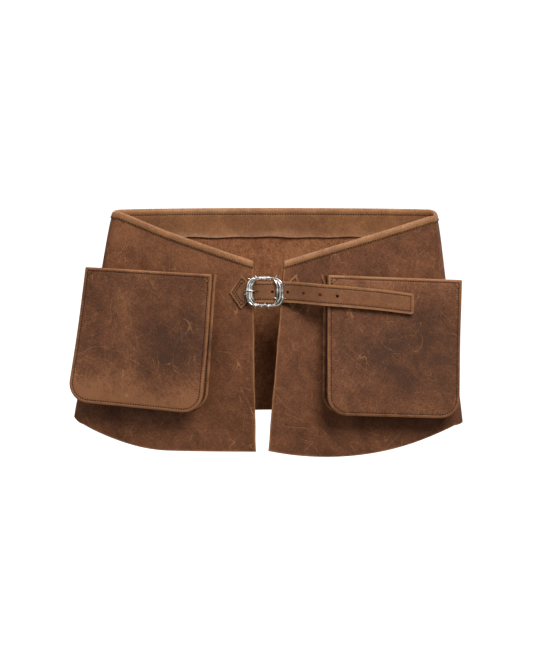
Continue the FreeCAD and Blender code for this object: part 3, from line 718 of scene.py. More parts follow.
def silver_material():
    """Cast silver: satin metal with a darker tarnish in soft patches and fine brush marks."""
    graph = new_graph("cast_silver")
    tarnish = graph.noise(graph.place(), 170.0, 4.0, 0.6, 0.4)
    brush = graph.noise(graph.place((140, 140, 1600)), 1.0, 3.0, 0.6)
    colour = graph.colour(tarnish, (0.38, tint(132, 125, 117)), (0.58, tint(238, 234, 228)))
    rough = graph.ramp(tarnish, 0.35, 0.6, 0.38, 0.2)
    bump = graph.bump(brush, 0.0001, 0.2)
    return graph.finish(Base_Color=colour, Metallic=1.0, Roughness=rough, Normal=bump)


BODY = leather_material("body_grain", ((76, 46, 29), (102, 62, 39), (127, 82, 53), (166, 114, 73)))
POCKET_TINTS = ((68, 43, 29), (98, 60, 39), (130, 86, 56), (164, 114, 73))
POCKET = leather_material("pocket_grain", POCKET_TINTS, contrast=0.95)
BAND_TINTS = ((98, 62, 38), (125, 82, 50), (151, 105, 66), (162, 112, 72))
BAND = leather_material("band_grain", BAND_TINTS, 0.4, 0.8, 0.48, 0.2)
STRAP_TINTS = ((92, 57, 34), (114, 73, 45), (142, 95, 60), (160, 109, 71))
STRAP = leather_material("strap_grain", STRAP_TINTS, 0.3, 0.7, 0.5, 0.24)
SUEDE = flesh_material("suede", tint(98, 56, 33), tint(154, 102, 68))
LINING = flesh_material("lining_flesh", tint(96, 62, 42), tint(140, 98, 70))
RAW = edge_material("raw_edge", tint(96, 62, 38), tint(152, 106, 66))
THREAD = thread_material()
SILVER = silver_material()


# ---- body leather
NEAR_EDGE = (0.0, 1.6, 4.0, 8.0)
FRONT_REACH = 230
BACK_COLUMNS = 84
BEND_STEPS = np.concatenate([-np.linspace(0, 1, 19)[1:], -1 - np.linspace(0, 1, 6)[1:]])


def side_columns():
    """q of each column of a side's leather, from the inner edge round the bend to the back."""
    ahead = 1 - spread(1.0, [d / FRONT_REACH for d in NEAR_EDGE], 50)
    return np.concatenate([ahead, BEND_STEPS])


def leather_rows(top, hem):
    return top[:, None] + spread(hem - top, NEAR_EDGE, 56)


def body_tone_and_shade(side, s, drop):
    """Near the waist the left front is paler and the right one darker. The hem is darker: painted shade,
    as if less light fell there from above.
    """
    waist = mix(0.04, SIDES[side]["pale"], smooth(s, -26, 0))
    # the last term darkens the hem: painted shade
    return 0.5 + waist * (1 - smooth(drop, 20, 170)) - 0.08 * smooth(drop, 200, 330)


def body_sheet(name, side, s, drop, ends, tone):
    """A stretch of the body leather, joined to the next one at its end columns, and the points
    and quads of its outer face."""
    points, normals = wall(side, s, drop)
    quads = grid_quads(*drop.shape)
    joined = np.zeros(drop.shape, bool)
    joined[ends] = True
    skin = Skin()
    shell(skin, points, quads, LEATHER, normals.reshape(-1, 3), tone=tone.ravel(), joined=joined.ravel())
    return skin.piece(name, BODY, SUEDE, RAW), points, quads


def make_side_leather(side):
    q = side_columns()
    top, hem = top_and_hem(side, q)
    drop = leather_rows(top, hem)
    s = station(side, q[:, None], drop)
    name = SIDES[side]["name"]
    tone = body_tone_and_shade(side, s, drop)
    piece, points, quads = body_sheet(name + "_leather", side, s, drop, [-1], tone)
    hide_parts(name + "_front_panel", name + "_panel_bend")
    bend_with(piece)


def bend_with(piece):
    """The piece crosses a side bend, between the back and that side's front."""
    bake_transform(piece)


def back_station(share, drop):
    """Distance along the wall for a share of the back, as seen from the left side."""
    bend = bend_length(drop)
    return -bend - BACK_SHARE - share * (back_length(drop) - 2 * BACK_SHARE)


def make_back_leather():
    share = np.linspace(0, 1, BACK_COLUMNS)[:, None]
    drop = leather_rows(np.full(BACK_COLUMNS, BACK_TOP), np.full(BACK_COLUMNS, BACK_HEM))
    drop = drop + 1.2 * np.sin(share * 9) * smooth(drop, 250, 299) * np.sin(share * math.pi)
    s = back_station(share, drop)
    tone = body_tone_and_shade(RIGHT, s, drop)
    piece, points, quads = body_sheet("back_leather", LEFT, s, drop, [0, -1], tone)
    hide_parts("back_panel")
    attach(piece, "back")


# ---- waistband
# (out of the leather, below its top edge) from the outer lip over the top to the facing
BAND_LINE = [
    (0.75, 7.9), (0.6, 7.3), (0.75, 6.4), (1.15, 5.3), (1.35, 4.1), (1.35, 2.7),
    (1.1, 1.2), (0.55, -0.2), (-0.4, -1.1), (-1.7, -1.5), (-3.0, -1.0), (-4.0, 0.2),
    (-4.6, 2.0), (-4.6, 3.8), (-4.3, 5.4), (-3.75, 6.6), (-4.0, 7.6), (-4.2, 10.0),
    (-4.0, 18.0), (-3.9, 27.0), (-4.2, 34.0), (-5.0, 38.0), (-6.2, 40.2),
]
BAND_LEATHER = 1.5
BAND_SEAM = 6.9
BAND_THREAD_OUT, BAND_THREAD_IN = 1.25, -4.5
BAND_COLUMNS = 110


def band_section():
    line = np.array(BAND_LINE)
    fine = np.linspace(0, len(line) - 1, 3 * len(line) - 2)
    ring = strip_ring(smooth_line(line, np.arange(len(line)), fine), BAND_LEATHER / 2)
    # the roll and lip get a lighter tone than the facing below them: a painted highlight along the roll's
    # top
    return ring, hump(ring[:, 1], BAND_SEAM, 0.7), 0.66 - 0.24 * smooth(ring[:, 1], 6.5, 9)


def slope_stretch(side, s_of, top):
    """How much longer the way down across the band is where its top edge slopes."""
    along = np.gradient(wall(side, s_of(top), top)[0][:, :2], axis=0)
    return np.sqrt(1 + (np.gradient(top) / np.linalg.norm(along, axis=1)) ** 2)


def band_rings(side, s_of, top, press):
    """The band's section along a top edge. s_of(drop) gives the columns' stations at a drop.
    press flattens its outer side where it is drawn round a bend."""
    ring, seam, tone = band_section()
    low = smooth(ring[:, 1], 30, 40)
    drops = top[:, None] + ring[None, :, 1] * slope_stretch(side, s_of, top)[:, None]
    out = np.maximum(ring[:, 0], 0)[None] * np.reshape(press, (-1, 1)) + np.minimum(ring[:, 0], 0)
    way = np.arange(len(top))[:, None]
    drops = drops + low * (0.5 * np.sin(way / 2.3) + 0.6 * np.sin(way / 5.1 + 1.0))
    out = out - low * (0.6 + 0.6 * np.sin(way / 7.0))
    columns = [wall(side, s_of(drop), drop, n)[0] for drop, n in zip(drops.T, out.T)]
    return np.stack(columns, axis=1), seam, tone


def band_thread(side, s_of, top, press):
    """The band's seam, seen outside and inside."""
    skin = Skin()
    drop = top + BAND_SEAM * slope_stretch(side, s_of, top)
    for out, sign in ((BAND_THREAD_OUT * press, 1), (BAND_THREAD_IN, -1)):
        points, normals = wall(side, s_of(drop), drop, out)
        stitch_row(skin, points, normals * sign)
    return skin


def band_and_thread(name, side, s_of, top, press=1.0):
    """The band along a top edge, and its seam."""
    points, seam, tone = band_rings(side, s_of, top, press)
    skin = Skin()
    tube(skin, points, GRAIN, seam, tone=tone)
    piece = skin.piece(name + "_band", BAND, BAND, RAW)
    thread = band_thread(side, s_of, top, press).piece(name + "_band_thread", THREAD)
    return piece, thread


def make_side_band(side):
    name = SIDES[side]["name"]
    q = np.concatenate([np.linspace(1, 0, 90), BEND_STEPS])
    top = top_and_hem(side, q)[0]
    press = 1 - 0.55 * hump(q, -0.5, 0.55)
    piece, thread = band_and_thread(name, side, lambda drop: station(side, q, drop), top, press)
    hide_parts(name + "_waistband", name + "_waistband_bend")
    bend_with(piece)
    bend_with(thread)


def make_back_band():
    share = np.linspace(0, 1, BAND_COLUMNS)
    top = np.full(BAND_COLUMNS, BACK_TOP)
    piece, thread = band_and_thread("back", LEFT, lambda drop: back_station(share, drop), top)
    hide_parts("back_waistband")
    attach(piece, "back")
    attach(thread, "back")


# ---- outlines in a front's plane
def offset_corners(corners, inset, closed=True):
    """The corners of a polygon or open line moved to its right by inset."""
    corners = np.asarray(corners, float)
    count = len(corners) if closed else len(corners) - 1
    step = unit(np.roll(corners, -1, axis=0) - corners)[:count]
    aside = left_of(step) * inset
    moved = []
    for k in range(len(corners)):
        before, after = (k - 1) % len(corners), k % count
        if not closed and k in (0, len(corners) - 1):
            moved.append(corners[k] + aside[min(k, count - 1)])
            continue
        start, along = corners[k] + aside[before], step[before]
        other, way = corners[k] + aside[after], step[after]
        reach = np.cross(other - start, way) / np.cross(along, way)
        moved.append(start + along * reach)
    return np.array(moved)


def rounded_outline(corners, radii, counts, runs, inset=0.0):
    """A polygon with arcs at its corners. It starts in the middle of the first arc."""
    corners = offset_corners(corners, inset)
    points = []
    for k, corner in enumerate(corners):
        before = unit(corners[k - 1] - corner)
        after = unit(corners[(k + 1) % len(corners)] - corner)
        radius = max(radii[k] - inset, 1.2)
        half = math.acos(float(np.clip(before @ after, -1, 1))) / 2
        centre = corner + unit(before + after) * radius / math.sin(half)
        start = centre + (before * radius / math.tan(half) + corner - centre)
        first = math.atan2(*(start - centre)[::-1])
        angles = first + np.linspace(0, math.pi - 2 * half, counts[k] + 1)
        points.append(centre + radius * np.stack([np.cos(angles), np.sin(angles)], axis=-1))
    line = []
    for arc, following, run in zip(points, points[1:] + points[:1], runs):
        share = np.linspace(0, 1, run + 1)[1:-1, None]
        line += [arc, mix(arc[-1], following[0], share)]
    return np.roll(np.concatenate(line), -(counts[0] // 2), axis=0)


PATCH_INSET = 5.0


def filled(outline, insets, corner_at):
    """Rings inside an outline and a patch of quads inside the last ring."""
    rings = np.stack([outline(d) for d in insets])
    count, size = rings.shape[:2]
    quads = [grid_quads(count, size, wrap=True)]
    last = (count - 1) * size
    a, b, c, d = corner_at
    left, bottom = np.arange(a, b + 1), np.arange(b, c + 1)
    right, top = np.arange(c, d + 1)[::-1], np.append(np.arange(d, size), a)[::-1]
    rows, columns = len(left), len(bottom)
    at = rings[-1]
    down = np.linspace(0, 1, rows)[:, None, None]
    across = np.linspace(0, 1, columns)[None, :, None]
    patch = mix(at[top][None], at[bottom][None], down) + mix(at[left][:, None], at[right][:, None], across)
    ends = mix(mix(at[a], at[b], down), mix(at[d], at[c], down), across)
    patch = patch - ends
    index = np.zeros((rows, columns), int)
    inside = count * size + np.arange((rows - 2) * (columns - 2))
    index[1:-1, 1:-1] = inside.reshape(rows - 2, columns - 2)
    index[:, 0], index[:, -1] = last + left, last + right
    index[0], index[-1] = last + top, last + bottom
    quads.append(index.ravel()[grid_quads(rows, columns)[:, ::-1]])
    points = np.concatenate([rings.reshape(-1, 2), patch[1:-1, 1:-1].reshape(-1, 2)])
    depth = np.concatenate([np.repeat(insets, size), np.full(len(inside), insets[-1] + PATCH_INSET)])
    return points, np.concatenate(quads), depth


# ---- pockets
POCKET_LEATHER = 2.5
MOUTH_HEM = 12.0
MOUTH_DEPTH = 31.0
FOOT_DEPTH = 38.0
POCKET_SEAM = 5.0
POCKET_SEAM_SINK = 0.55
FLANGE_SEAM = 4.5
FLANGE_MIDDLE = 1.5
TACK_LEG = 9.0
GUSSET_LEATHER = 2.2
GUSSET_RISE = 0.5
GUSSET_EDGE = 0.6
GUSSET_SPLAY = {LEFT: (1.6, 0.8), RIGHT: (3.6, 0.8)}
# corners in the front's plane, from the top left one down and round against the clock
POCKETS = {
    LEFT: [(-42.4, -79.0), (-67.0, -271.8), (130.2, -286.6), (143.2, -87.4)],
    RIGHT: [(-156.4, -87.6), (-159.6, -286.6), (34.0, -297.0), (40.4, -97.5)],
}
# painted highlight added at the foot, tone taken off in the middle and added at the mouth
POCKET_TONES_AND_HIGHLIGHT = {LEFT: (0.52, 0.15, -0.02), RIGHT: (0.06, 0.32, 0.2)}
POCKET_RADII = (2.0, 29.0, 29.0, 2.0)
ARC_STEPS = (2, 12, 12, 2)
RUN_STEPS = (42, 38, 42, 48)
# the first point of the outline past its two sides and foot
MOUTH_AT = sum(ARC_STEPS[:3]) + sum(RUN_STEPS[:3])
POCKET_INSETS = (0.0, 1.1, 2.4, 3.6, 4.3, 4.7, 5.0, 5.3, 5.7, 6.6, 9.0, 13.0, 19.0)
# the gusset's middle line: (inside the front's edge, share of the depth, and mm from there)
GUSSET_LINE = [
    (0.4, 1, -3.9), (3.0, 1, -3.9), (5.4, 1, -4.2), (7.2, 1, -5.6), (7.9, 1, -8.5),
    (8.8, 0.72, 0.0), (9.2, 0.5, 0.0), (8.8, 0.28, 0.0), (7.8, 0, 6.2), (6.9, 0, 3.4),
    (5.6, 0, 1.8), (3.2, 0, FLANGE_MIDDLE), (GUSSET_EDGE, 0, FLANGE_MIDDLE),
]


def pocket_outline(side, inset=0.0):
    return rounded_outline(POCKETS[side], POCKET_RADII, ARC_STEPS, RUN_STEPS, inset)


def pocket_share(side, points):
    """Where points lie on the pocket: across and down, each from 0 to 1."""
    corners = np.array(POCKETS[side])
    across = corners[3] - corners[0]
    down = (corners[1] + corners[2] - corners[0] - corners[3]) / 2
    system = np.stack([across, down], axis=-1)
    return (np.linalg.inv(system) @ (points - corners[0])[..., None])[..., 0]


def pocket_depth(side, points):
    """How far the pocket's front stands off the leather: it bellies out towards its foot."""
    across, down = np.moveaxis(pocket_share(side, points), -1, 0)
    belly = mix(MOUTH_DEPTH, FOOT_DEPTH, smooth(down, 0.3, 0.97))
    crown = 1.5 * np.sin(math.pi * np.clip(across, 0, 1)) * np.sin(math.pi * np.clip(down, 0, 1))
    dent = 0.7 * np.sin(5.2 * across + 1.0 + side) * np.sin(6.1 * down + 0.7)
    return belly + crown + dent * smooth(down, 0, 0.2)


def pocket_relief(inset):
    """The rolled edge and the stitched groove inside it."""
    edge = -1.1 * (1 - smooth(inset, 0, 2.6)) + 0.35 * hump(inset, 3.0, 1.0)
    return edge - 0.45 * hump(inset, POCKET_SEAM, 0.8)


def make_pocket_front(side):
    name = SIDES[side]["name"] + "_pocket_front"
    corner_at = [0]
    for arc, run, following in zip(ARC_STEPS, RUN_STEPS[:3], ARC_STEPS[1:]):
        corner_at.append(corner_at[-1] + arc // 2 + run + following // 2)
    flat, quads, inset = filled(lambda d: pocket_outline(side, d), POCKET_INSETS, corner_at)
    across, down = np.moveaxis(pocket_share(side, flat), -1, 0)
    n = pocket_depth(side, flat) + pocket_relief(inset)
    points = front(side, *flat.T, n)
    height = np.linalg.norm(np.subtract(*POCKETS[side][:2]))
    thickness = POCKET_LEATHER + 1.2 * (1 - smooth(down * height, MOUTH_HEM, MOUTH_HEM + 1.5))
    foot, middle, mouth = POCKET_TONES_AND_HIGHLIGHT[side]
    # the lighter foot is a painted highlight on the pocket's belly
    tone = 0.5 + foot * smooth(down, 0.6, 1.0) + mouth * (1 - smooth(down, 0.0, 0.3))
    tone = tone - middle * np.exp(-(((across - 0.62) / 0.46) ** 2) - ((down - 0.56) / 0.34) ** 2)
    tone = tone + 0.16 * (1 - smooth(inset, 3.0, 8.0))
    seam = hump(inset, POCKET_SEAM, 0.45)
    skin = Skin()
    shell(skin, points, quads, thickness, FRONTS[side][2], 1.0, tone, seam)
    piece = skin.piece(name + "_leather", POCKET, SUEDE, RAW)
    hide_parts(name)
    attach(piece, SIDES[side]["name"] + "_front")


def gusset_path(side):
    """The pocket's outline from mouth to mouth, a little past both, and its outward direction."""
    line = pocket_outline(side)
    line = line[1:MOUTH_AT]
    rise = [line[0] + unit(line[0] - line[1]) * GUSSET_RISE]
    fall = [line[-1] + unit(line[-1] - line[-2]) * GUSSET_RISE]
    line = np.concatenate([rise, line, fall])
    return line, -left_of(unit(np.gradient(line, axis=0)))


def make_gusset(side):
    name = SIDES[side]["name"] + "_pocket_gusset"
    line, outward = gusset_path(side)
    depth = pocket_depth(side, line)
    inside, share, rest = np.array(GUSSET_LINE).T
    rings = []
    away = lengths(line)
    first, last = GUSSET_SPLAY[side]
    splay = first * (1 - smooth(away, 4, 13)) + last * (1 - smooth(away[-1] - away, 4, 13))
    loose = 1 - smooth(share + rest / 40, 0.6, 0.85)
    for point, out, deep, more in zip(line, outward, depth, splay):
        way = np.stack([loose * more - inside, share * deep + rest], axis=-1)
        ring = strip_ring(way, GUSSET_LEATHER / 2)
        flat = point + out * ring[:, :1]
        rings.append(front(side, *flat.T, ring[:, 1]))
    inset = -ring[:, 0] - GUSSET_EDGE
    wear = np.where(np.abs(ring[:, 1] - deep / 2) > 12, np.clip(inset, 0, 40), 30.0)
    seam = hump(inset + GUSSET_EDGE, FLANGE_SEAM, 0.8) * (ring[:, 1] < 8)
    half = len(ring) // 2
    skin = Skin()
    tube(skin, np.array(rings), [GRAIN] * half + [FLESH] * half, seam, wear)
    piece = skin.piece(name + "_leather", POCKET, SUEDE, RAW)
    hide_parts(name)
    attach(piece, SIDES[side]["name"] + "_front")


def sew_front(skin, side, row, n, lift=STITCH_LIFT):
    """Stitches along a row of points of a front's plane, n out of the leather."""
    stitch_row(skin, front(side, *row.T, n), np.tile(FRONTS[side][2], (len(row), 1)), lift)


def make_pocket_thread(side):
    """The seam round the front, its tacks at the mouth, and the seam of the rear flange."""
    skin = Skin()
    corners = offset_corners(POCKETS[side], POCKET_SEAM)
    seam = pocket_outline(side, POCKET_SEAM)
    mouth = mix(corners[0], corners[3], np.linspace(0, 1, 60)[:, None])
    rows = [seam[1:MOUTH_AT], mouth]
    for top, foot, other in ((0, 1, 3), (3, 2, 0)):
        start = corners[top] + unit(corners[other] - corners[top]) * TACK_LEG
        end = corners[top] + unit(corners[foot] - corners[top]) * TACK_LEG
        rows.append(mix(start, end, np.linspace(0, 1, 12)[:, None]))
    for row in rows:
        sew_front(skin, side, row, pocket_depth(side, row) - POCKET_SEAM_SINK, 0.3)
    line, outward = gusset_path(side)
    sew_front(skin, side, line - outward * FLANGE_SEAM, FLANGE_MIDDLE + GUSSET_LEATHER / 2)
    thread = skin.piece(SIDES[side]["name"] + "_pocket_thread", THREAD)
    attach(thread, SIDES[side]["name"] + "_front")


# ---- strap and its anchor
STRAP_HALF = 15.0
STRAP_LEATHER = 1.6
LAYER_GAP = 0.05
STRAP_SEAM = 4.4
HOLE_RADIUS = 1.8
HOLE_RINGS = (4.4, 3.3, HOLE_RADIUS)
HOLE_BLOCK = 8.0
FIRST_COLUMN, WIDE_GAP = 2.9, 5
STRAP_ROWS = (15, 14.1, 12.6, 11.4, 10.6, 9.8, 8, 4)
SLOT_X, SLOT_STRETCH = -25.0, 1.7
FIRST_HOLE = -3.8
HOLE_PITCH = 22.9
HOLE_COUNT = 5
ANCHOR_TIP, ANCHOR_PEAK, ANCHOR_HALF, STRAP_START = -63.7, -46.7, 24.6, -38.7
ANCHOR_NECK, ANCHOR_SEAMS = 16.5, (3.6, 7.0)
STRAP_TIP, TIP_CUT, TIP_SEAM = 197.5, 4.0, 5.2
# the back of the strap in plan, from its anchor over the centre bar to the right pocket
STRAP_WAY = [
    (-70.0, -50.6), (-55.0, -53.7), (-42.7, -57.0), (-29.0, -59.8), (-17.5, -65.6), (-12.8, -66.3),
    (2.0, -65.3), (14.0, -65.6), (46.0, -76.5), (70.0, -84.6), (96.0, -81.7), (197.5, -60.9),
]
# the height of the strap's middle line
STRAP_LEVEL = [
    (-66.0, -113.7), (-42.0, -112.6), (-12.8, -112.0), (42.0, -113.0), (76.0, -115.5),
    (149.0, -123.0), (197.5, -129.9),
]


def strap_point(x, b, n):
    """A point of the strap: b above its middle line, n in front of its back."""
    x, b, n = matched(x, b, n)
    y = curve_through(STRAP_WAY, x)
    slope = curve_through(STRAP_WAY, x + 0.5) - curve_through(STRAP_WAY, x - 0.5)
    length = np.sqrt(1 + slope**2)
    lean = FRONTS[LEFT][3][1] * (1 - smooth(x, -58, -40))
    curl = 0.45 * np.sin((x - 20) / 30) * smooth(x, 15, 60) * (b / STRAP_HALF) ** 2
    y = y + lean * b - (n + curl) / length
    return stack(x + n * slope / length, y, curve_through(STRAP_LEVEL, x) + b)


def strap_columns():
    """x of each column of the strap, and the middle and stretch of its slot and each hole."""
    blocks = [(SLOT_X, SLOT_STRETCH)] + [(FIRST_HOLE + k * HOLE_PITCH, 0.0) for k in range(HOLE_COUNT)]
    columns = [STRAP_START, STRAP_START + FIRST_COLUMN]
    for middle, _ in blocks:
        gap = middle - HOLE_BLOCK - columns[-1]
        if gap > WIDE_GAP:
            columns.append(columns[-1] + gap / 2)
        columns += [middle + HOLE_BLOCK * k / 2 for k in range(-2, 3)]
    rest = spread(STRAP_TIP - columns[-1], (0.0, 1.4, 3.4, 5.6), 26)[1:]
    return np.concatenate([columns, columns[-1] + rest]), blocks


def both_halves(rows, half):
    """Rows of points from one edge to the other, as shares of the half width."""
    rows = np.array(rows) / half
    return np.concatenate([rows, [0.0], -rows[::-1]])


def headed_strip(rows, steps, ends, halves, columns, half, skew=0.0):
    """Flat points of a strip with a pointed head, whose ends are its tip, widest place and neck."""
    progress = np.linspace(0, 1, steps)[:-1, None]
    tip, peak, neck = ends
    head_x = mix(mix(tip, neck, progress), mix(peak, neck, progress), np.abs(rows))
    head_x = head_x - skew * rows * (1 - progress)
    x, b = np.broadcast_arrays(columns[:, None], rows * np.reshape(half, (-1, 1)))
    head_b = rows * mix(*halves, progress)
    return np.stack([np.concatenate([head_x, x]), np.concatenate([head_b, b])], axis=-1)


def without_spares(points, quads):
    """Points and quads without the points that no quad uses."""
    used = np.unique(quads)
    return points[used], np.searchsorted(used, quads)


def strap_flat():
    """Points of the strap and its anchor laid flat, its quads, and the groove along its edges."""
    columns, blocks = strap_columns()
    rows = both_halves(STRAP_ROWS, STRAP_HALF)
    half = STRAP_HALF - TIP_CUT * smooth(columns, STRAP_TIP - TIP_CUT, STRAP_TIP + 1.5)
    ends, halves = (ANCHOR_TIP, ANCHOR_PEAK, STRAP_START), (ANCHOR_HALF, STRAP_HALF)
    flat = headed_strip(rows, 10, ends, halves, columns, half)
    shape, flat = flat.shape[:2], flat.reshape(-1, 2)
    index, quads = np.arange(len(flat)).reshape(shape), grid_quads(*shape)
    for place, stretch in blocks:
        inside = (np.abs(flat[quads].mean(axis=1) - (place, 0.0)) < HOLE_BLOCK).all(axis=1)
        quads = quads[~inside]
        first = shape[0] - len(columns) + int(np.argmin(np.abs(columns - (place - HOLE_BLOCK))))
        low = int(np.argmin(np.abs(rows * STRAP_HALF - HOLE_BLOCK)))
        block = index[first:first + 5, low:low + 5]
        border = np.concatenate([block[:-1, 0], block[-1, :-1], block[1:, -1][::-1], block[0, 1:][::-1]])
        angle = np.arctan2(flat[border, 1], flat[border, 0] - place)
        previous = border
        for radius in HOLE_RINGS:
            ring = np.stack([(radius + stretch) * np.cos(angle) + place, radius * np.sin(angle)], axis=-1)
            following = len(flat) + np.arange(len(ring))
            flat = np.concatenate([flat, ring])
            beside = (np.roll(following, -1), np.roll(previous, -1))
            quads = np.concatenate([quads, np.stack([previous, following, *beside], axis=-1)])
            previous = following
    flat, quads = without_spares(flat, quads)
    groove = hump(STRAP_HALF - np.abs(flat[:, 1]), STRAP_SEAM, 0.5) * (flat[:, 0] > STRAP_START)
    return flat, quads, groove


def inset_row(corners, inset, per=10):
    """A dense line beside the corners' open line."""
    moved = offset_corners(corners, inset, closed=False)
    share = np.linspace(0, 1, per)[:-1, None]
    line = [mix(a, b, share) for a, b in zip(moved, moved[1:])]
    return np.concatenate([*line, moved[-1:]])


def sewn_row(skin, place, row, n, sign=1):
    """Stitches along a row of flat points on the strap or the tab."""
    points = place(*row.T, n)
    out = place(*row.T, n + 1.0) - points
    stitch_row(skin, points, unit(out) * sign)


def make_strap():
    flat, quads, groove = strap_flat()
    x, b = flat.T
    edge = STRAP_HALF - np.abs(b)
    tone = 0.5 + 0.32 * (1 - smooth(edge, 1.5, 4.4)) * (x > STRAP_START)
    layers = (
        ("strap", 2 * STRAP_LEATHER + LAYER_GAP - 0.4 * groove, (STRAP, LINING, RAW)),
        ("strap_lining", STRAP_LEATHER, (LINING, STRAP, RAW)),
    )
    for layer, n, finishes in layers:
        skin = Skin()
        shell(skin, strap_point(x, b, n), quads, STRAP_LEATHER, (0, -1, 0), 0.55, tone, groove)
        piece = skin.piece(layer + "_leather", *finishes)
        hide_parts(layer, layer.replace("strap", "strap_anchor"))
        bend_strap(piece)
    skin = Skin()
    inside = STRAP_HALF - STRAP_SEAM
    end = STRAP_TIP - TIP_SEAM
    seam = [(STRAP_START, inside), (end, inside), (end, -inside), (STRAP_START, -inside)]
    seam = inset_row(seam, 0.0, 120)
    sewn_row(skin, strap_point, seam, 2 * STRAP_LEATHER - 0.35)
    sewn_row(skin, strap_point, seam, 0.0, -1)
    diamond = [(STRAP_START, ANCHOR_NECK), (ANCHOR_PEAK, ANCHOR_HALF), (ANCHOR_TIP, 0.0)]
    diamond += [(ANCHOR_PEAK, -ANCHOR_HALF), (STRAP_START, -ANCHOR_NECK)]
    for inset in ANCHOR_SEAMS:
        sewn_row(skin, strap_point, inset_row(diamond, inset), 2 * STRAP_LEATHER)
    thread = skin.piece("strap_thread", THREAD)
    bend_strap(thread)


def bend_strap(piece):
    """The strap turns where it leaves its anchor."""
    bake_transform(piece)


# ---- buckle tab
TAB_LEATHER = 1.5
TAB_HALF, TAB_PEAK_HALF = 14.0, 25.0
TAB_TIP, TAB_PEAK, TAB_NECK, TAB_SKEW = 36.0, 26.5, 17.0, 2.6
TAB_LEVEL = -112.3
TAB_SLOT, SLOT_REACH = 3.4, 5.0
TAB_STAND, BAR_GAP = 0.55, 0.12
TAB_START, TAB_LENGTH, TAB_COLUMNS = 4.0, 80.0, 46
TAB_NECK_HALF, TAB_SEAMS = 14.5, (3.6, 6.8)
BAR_X, BAR_Y, BAR_RADIUS = -12.8, -62.5, 1.8
TAB_FOLD = BAR_RADIUS + BAR_GAP + TAB_LEATHER


def tab_way():
    """The outer face of the tab in plan: from its tip over the bar, round it and back."""
    corner, across, _, up = FRONTS[RIGHT]
    line = []
    for x in (42.0, 38.0, 32.0, 25.0, 17.0, 12.0):
        y = corner[1] + (x - corner[0]) / across[0] * across[1] + TAB_LEVEL * up[1]
        line.append((x, y - TAB_LEATHER - TAB_STAND))
    line += [(6.0, -64.4), (0.0, -65.2), (-7.0, -65.75)]
    for angle in range(-90, -271, -20):
        turn = math.radians(angle)
        line.append((BAR_X + TAB_FOLD * math.cos(turn), BAR_Y + TAB_FOLD * math.sin(turn)))
    line += [(-9.0, -59.2), (-2.0, -60.0), (8.0, -60.2)]
    return np.array(line)


def tab_point(s, b, n):
    """s along the tab's outer face from its tip, b above its middle, n out of the face."""
    way = tab_way()
    length = lengths(way) - TAB_START
    s, b, n = matched(s, b, n)
    place = smooth_line(way, length, s)
    along = unit(smooth_line(way, length, s + 0.3) - place)
    lean = FRONTS[RIGHT][3][1] * b * smooth(place[..., 0], 4, 12)
    x, y = np.moveaxis(place + left_of(along) * n[..., None], -1, 0)
    return stack(x, y + lean, TAB_LEVEL + b)


def make_tab():
    peak, neck = TAB_TIP - TAB_PEAK, TAB_TIP - TAB_NECK
    rows = both_halves((TAB_HALF, 13, 11.2, 8, TAB_SLOT), TAB_HALF)
    columns = np.linspace(neck, TAB_LENGTH, TAB_COLUMNS)
    ends, halves = (0.0, peak, neck), (TAB_PEAK_HALF, TAB_HALF)
    flat = headed_strip(rows, 12, ends, halves, columns, TAB_HALF, TAB_SKEW)
    quads, flat = grid_quads(*flat.shape[:2]), flat.reshape(-1, 2)
    centre, place = flat[quads].mean(axis=1), tab_point(*flat.T, 0.0)[quads].mean(axis=1)
    slot = (np.abs(centre[:, 1]) < TAB_SLOT) & (place[:, 0] < BAR_X + SLOT_REACH)
    flat, quads = without_spares(flat, quads[~slot])
    points = tab_point(*flat.T, 0.0)
    skin = Skin()
    shell(skin, points, quads, TAB_LEATHER, tab_point(*flat.T, 1.0) - points, 0.5)
    piece = skin.piece("buckle_tab_leather", STRAP, LINING, RAW)
    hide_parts("buckle_tab")
    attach(piece, "right_front")
    upper, lower = (peak - TAB_SKEW, TAB_PEAK_HALF), (peak + TAB_SKEW, -TAB_PEAK_HALF)
    diamond = [(neck, TAB_NECK_HALF), upper, (0.0, 0.0), lower, (neck, -TAB_NECK_HALF)]
    skin = Skin()
    for inset in TAB_SEAMS:
        sewn_row(skin, tab_point, inset_row(diamond, inset), 0.0)
    thread = skin.piece("tab_thread", THREAD)
    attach(thread, "right_front")


# ---- buckle
FRAME_TURN = math.radians(8.9)
BAR_SETBACK = 4.1
RING_HALF = (22.0, 19.2)
RING_CORNER = 13.5
RING_DEPTH = -2.9
RING_POINTS = 144
# at the ring's top and foot, on its left and on its right
STRAND_APART = (0.95, 3.1, 3.6)
STRAND_RADIUS = (1.05, 2.3, 1.75)
POST_HEIGHT = 18.3
CAP_TURNS = (0.5, 1.0, 1.45)
BAR_SIDEWAYS = (0.13, 0.31, 0.94)
BLUNT_POINTS = 12


def buckle_point(x, y, z):
    """A point of the buckle's own frame: x right, y back from the ring's back face, z up."""
    cos, sin = math.cos(FRAME_TURN), math.sin(FRAME_TURN)
    low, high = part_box("buckle_centre_bar")
    bar = (low + high) / 2 / MM
    y = y - BAR_SETBACK
    return stack(bar.x + x * cos + y * sin, bar.y - x * sin + y * cos, bar.z + z)


def ring_way(count):
    """The middle line of the buckle's ring and its outward direction."""
    corners = np.array([(-1, 1), (-1, -1), (1, -1), (1, 1)]) * RING_HALF
    line = rounded_outline(corners, [RING_CORNER] * 4, [14] * 4, [12] * 4)
    closed = np.concatenate([line, line[:1]])
    length = lengths(closed)
    line = read_line(closed, length, np.linspace(0, length[-1], count, endpoint=False))
    return line, -left_of(unit(np.roll(line, -2, axis=0) - np.roll(line, 2, axis=0)))


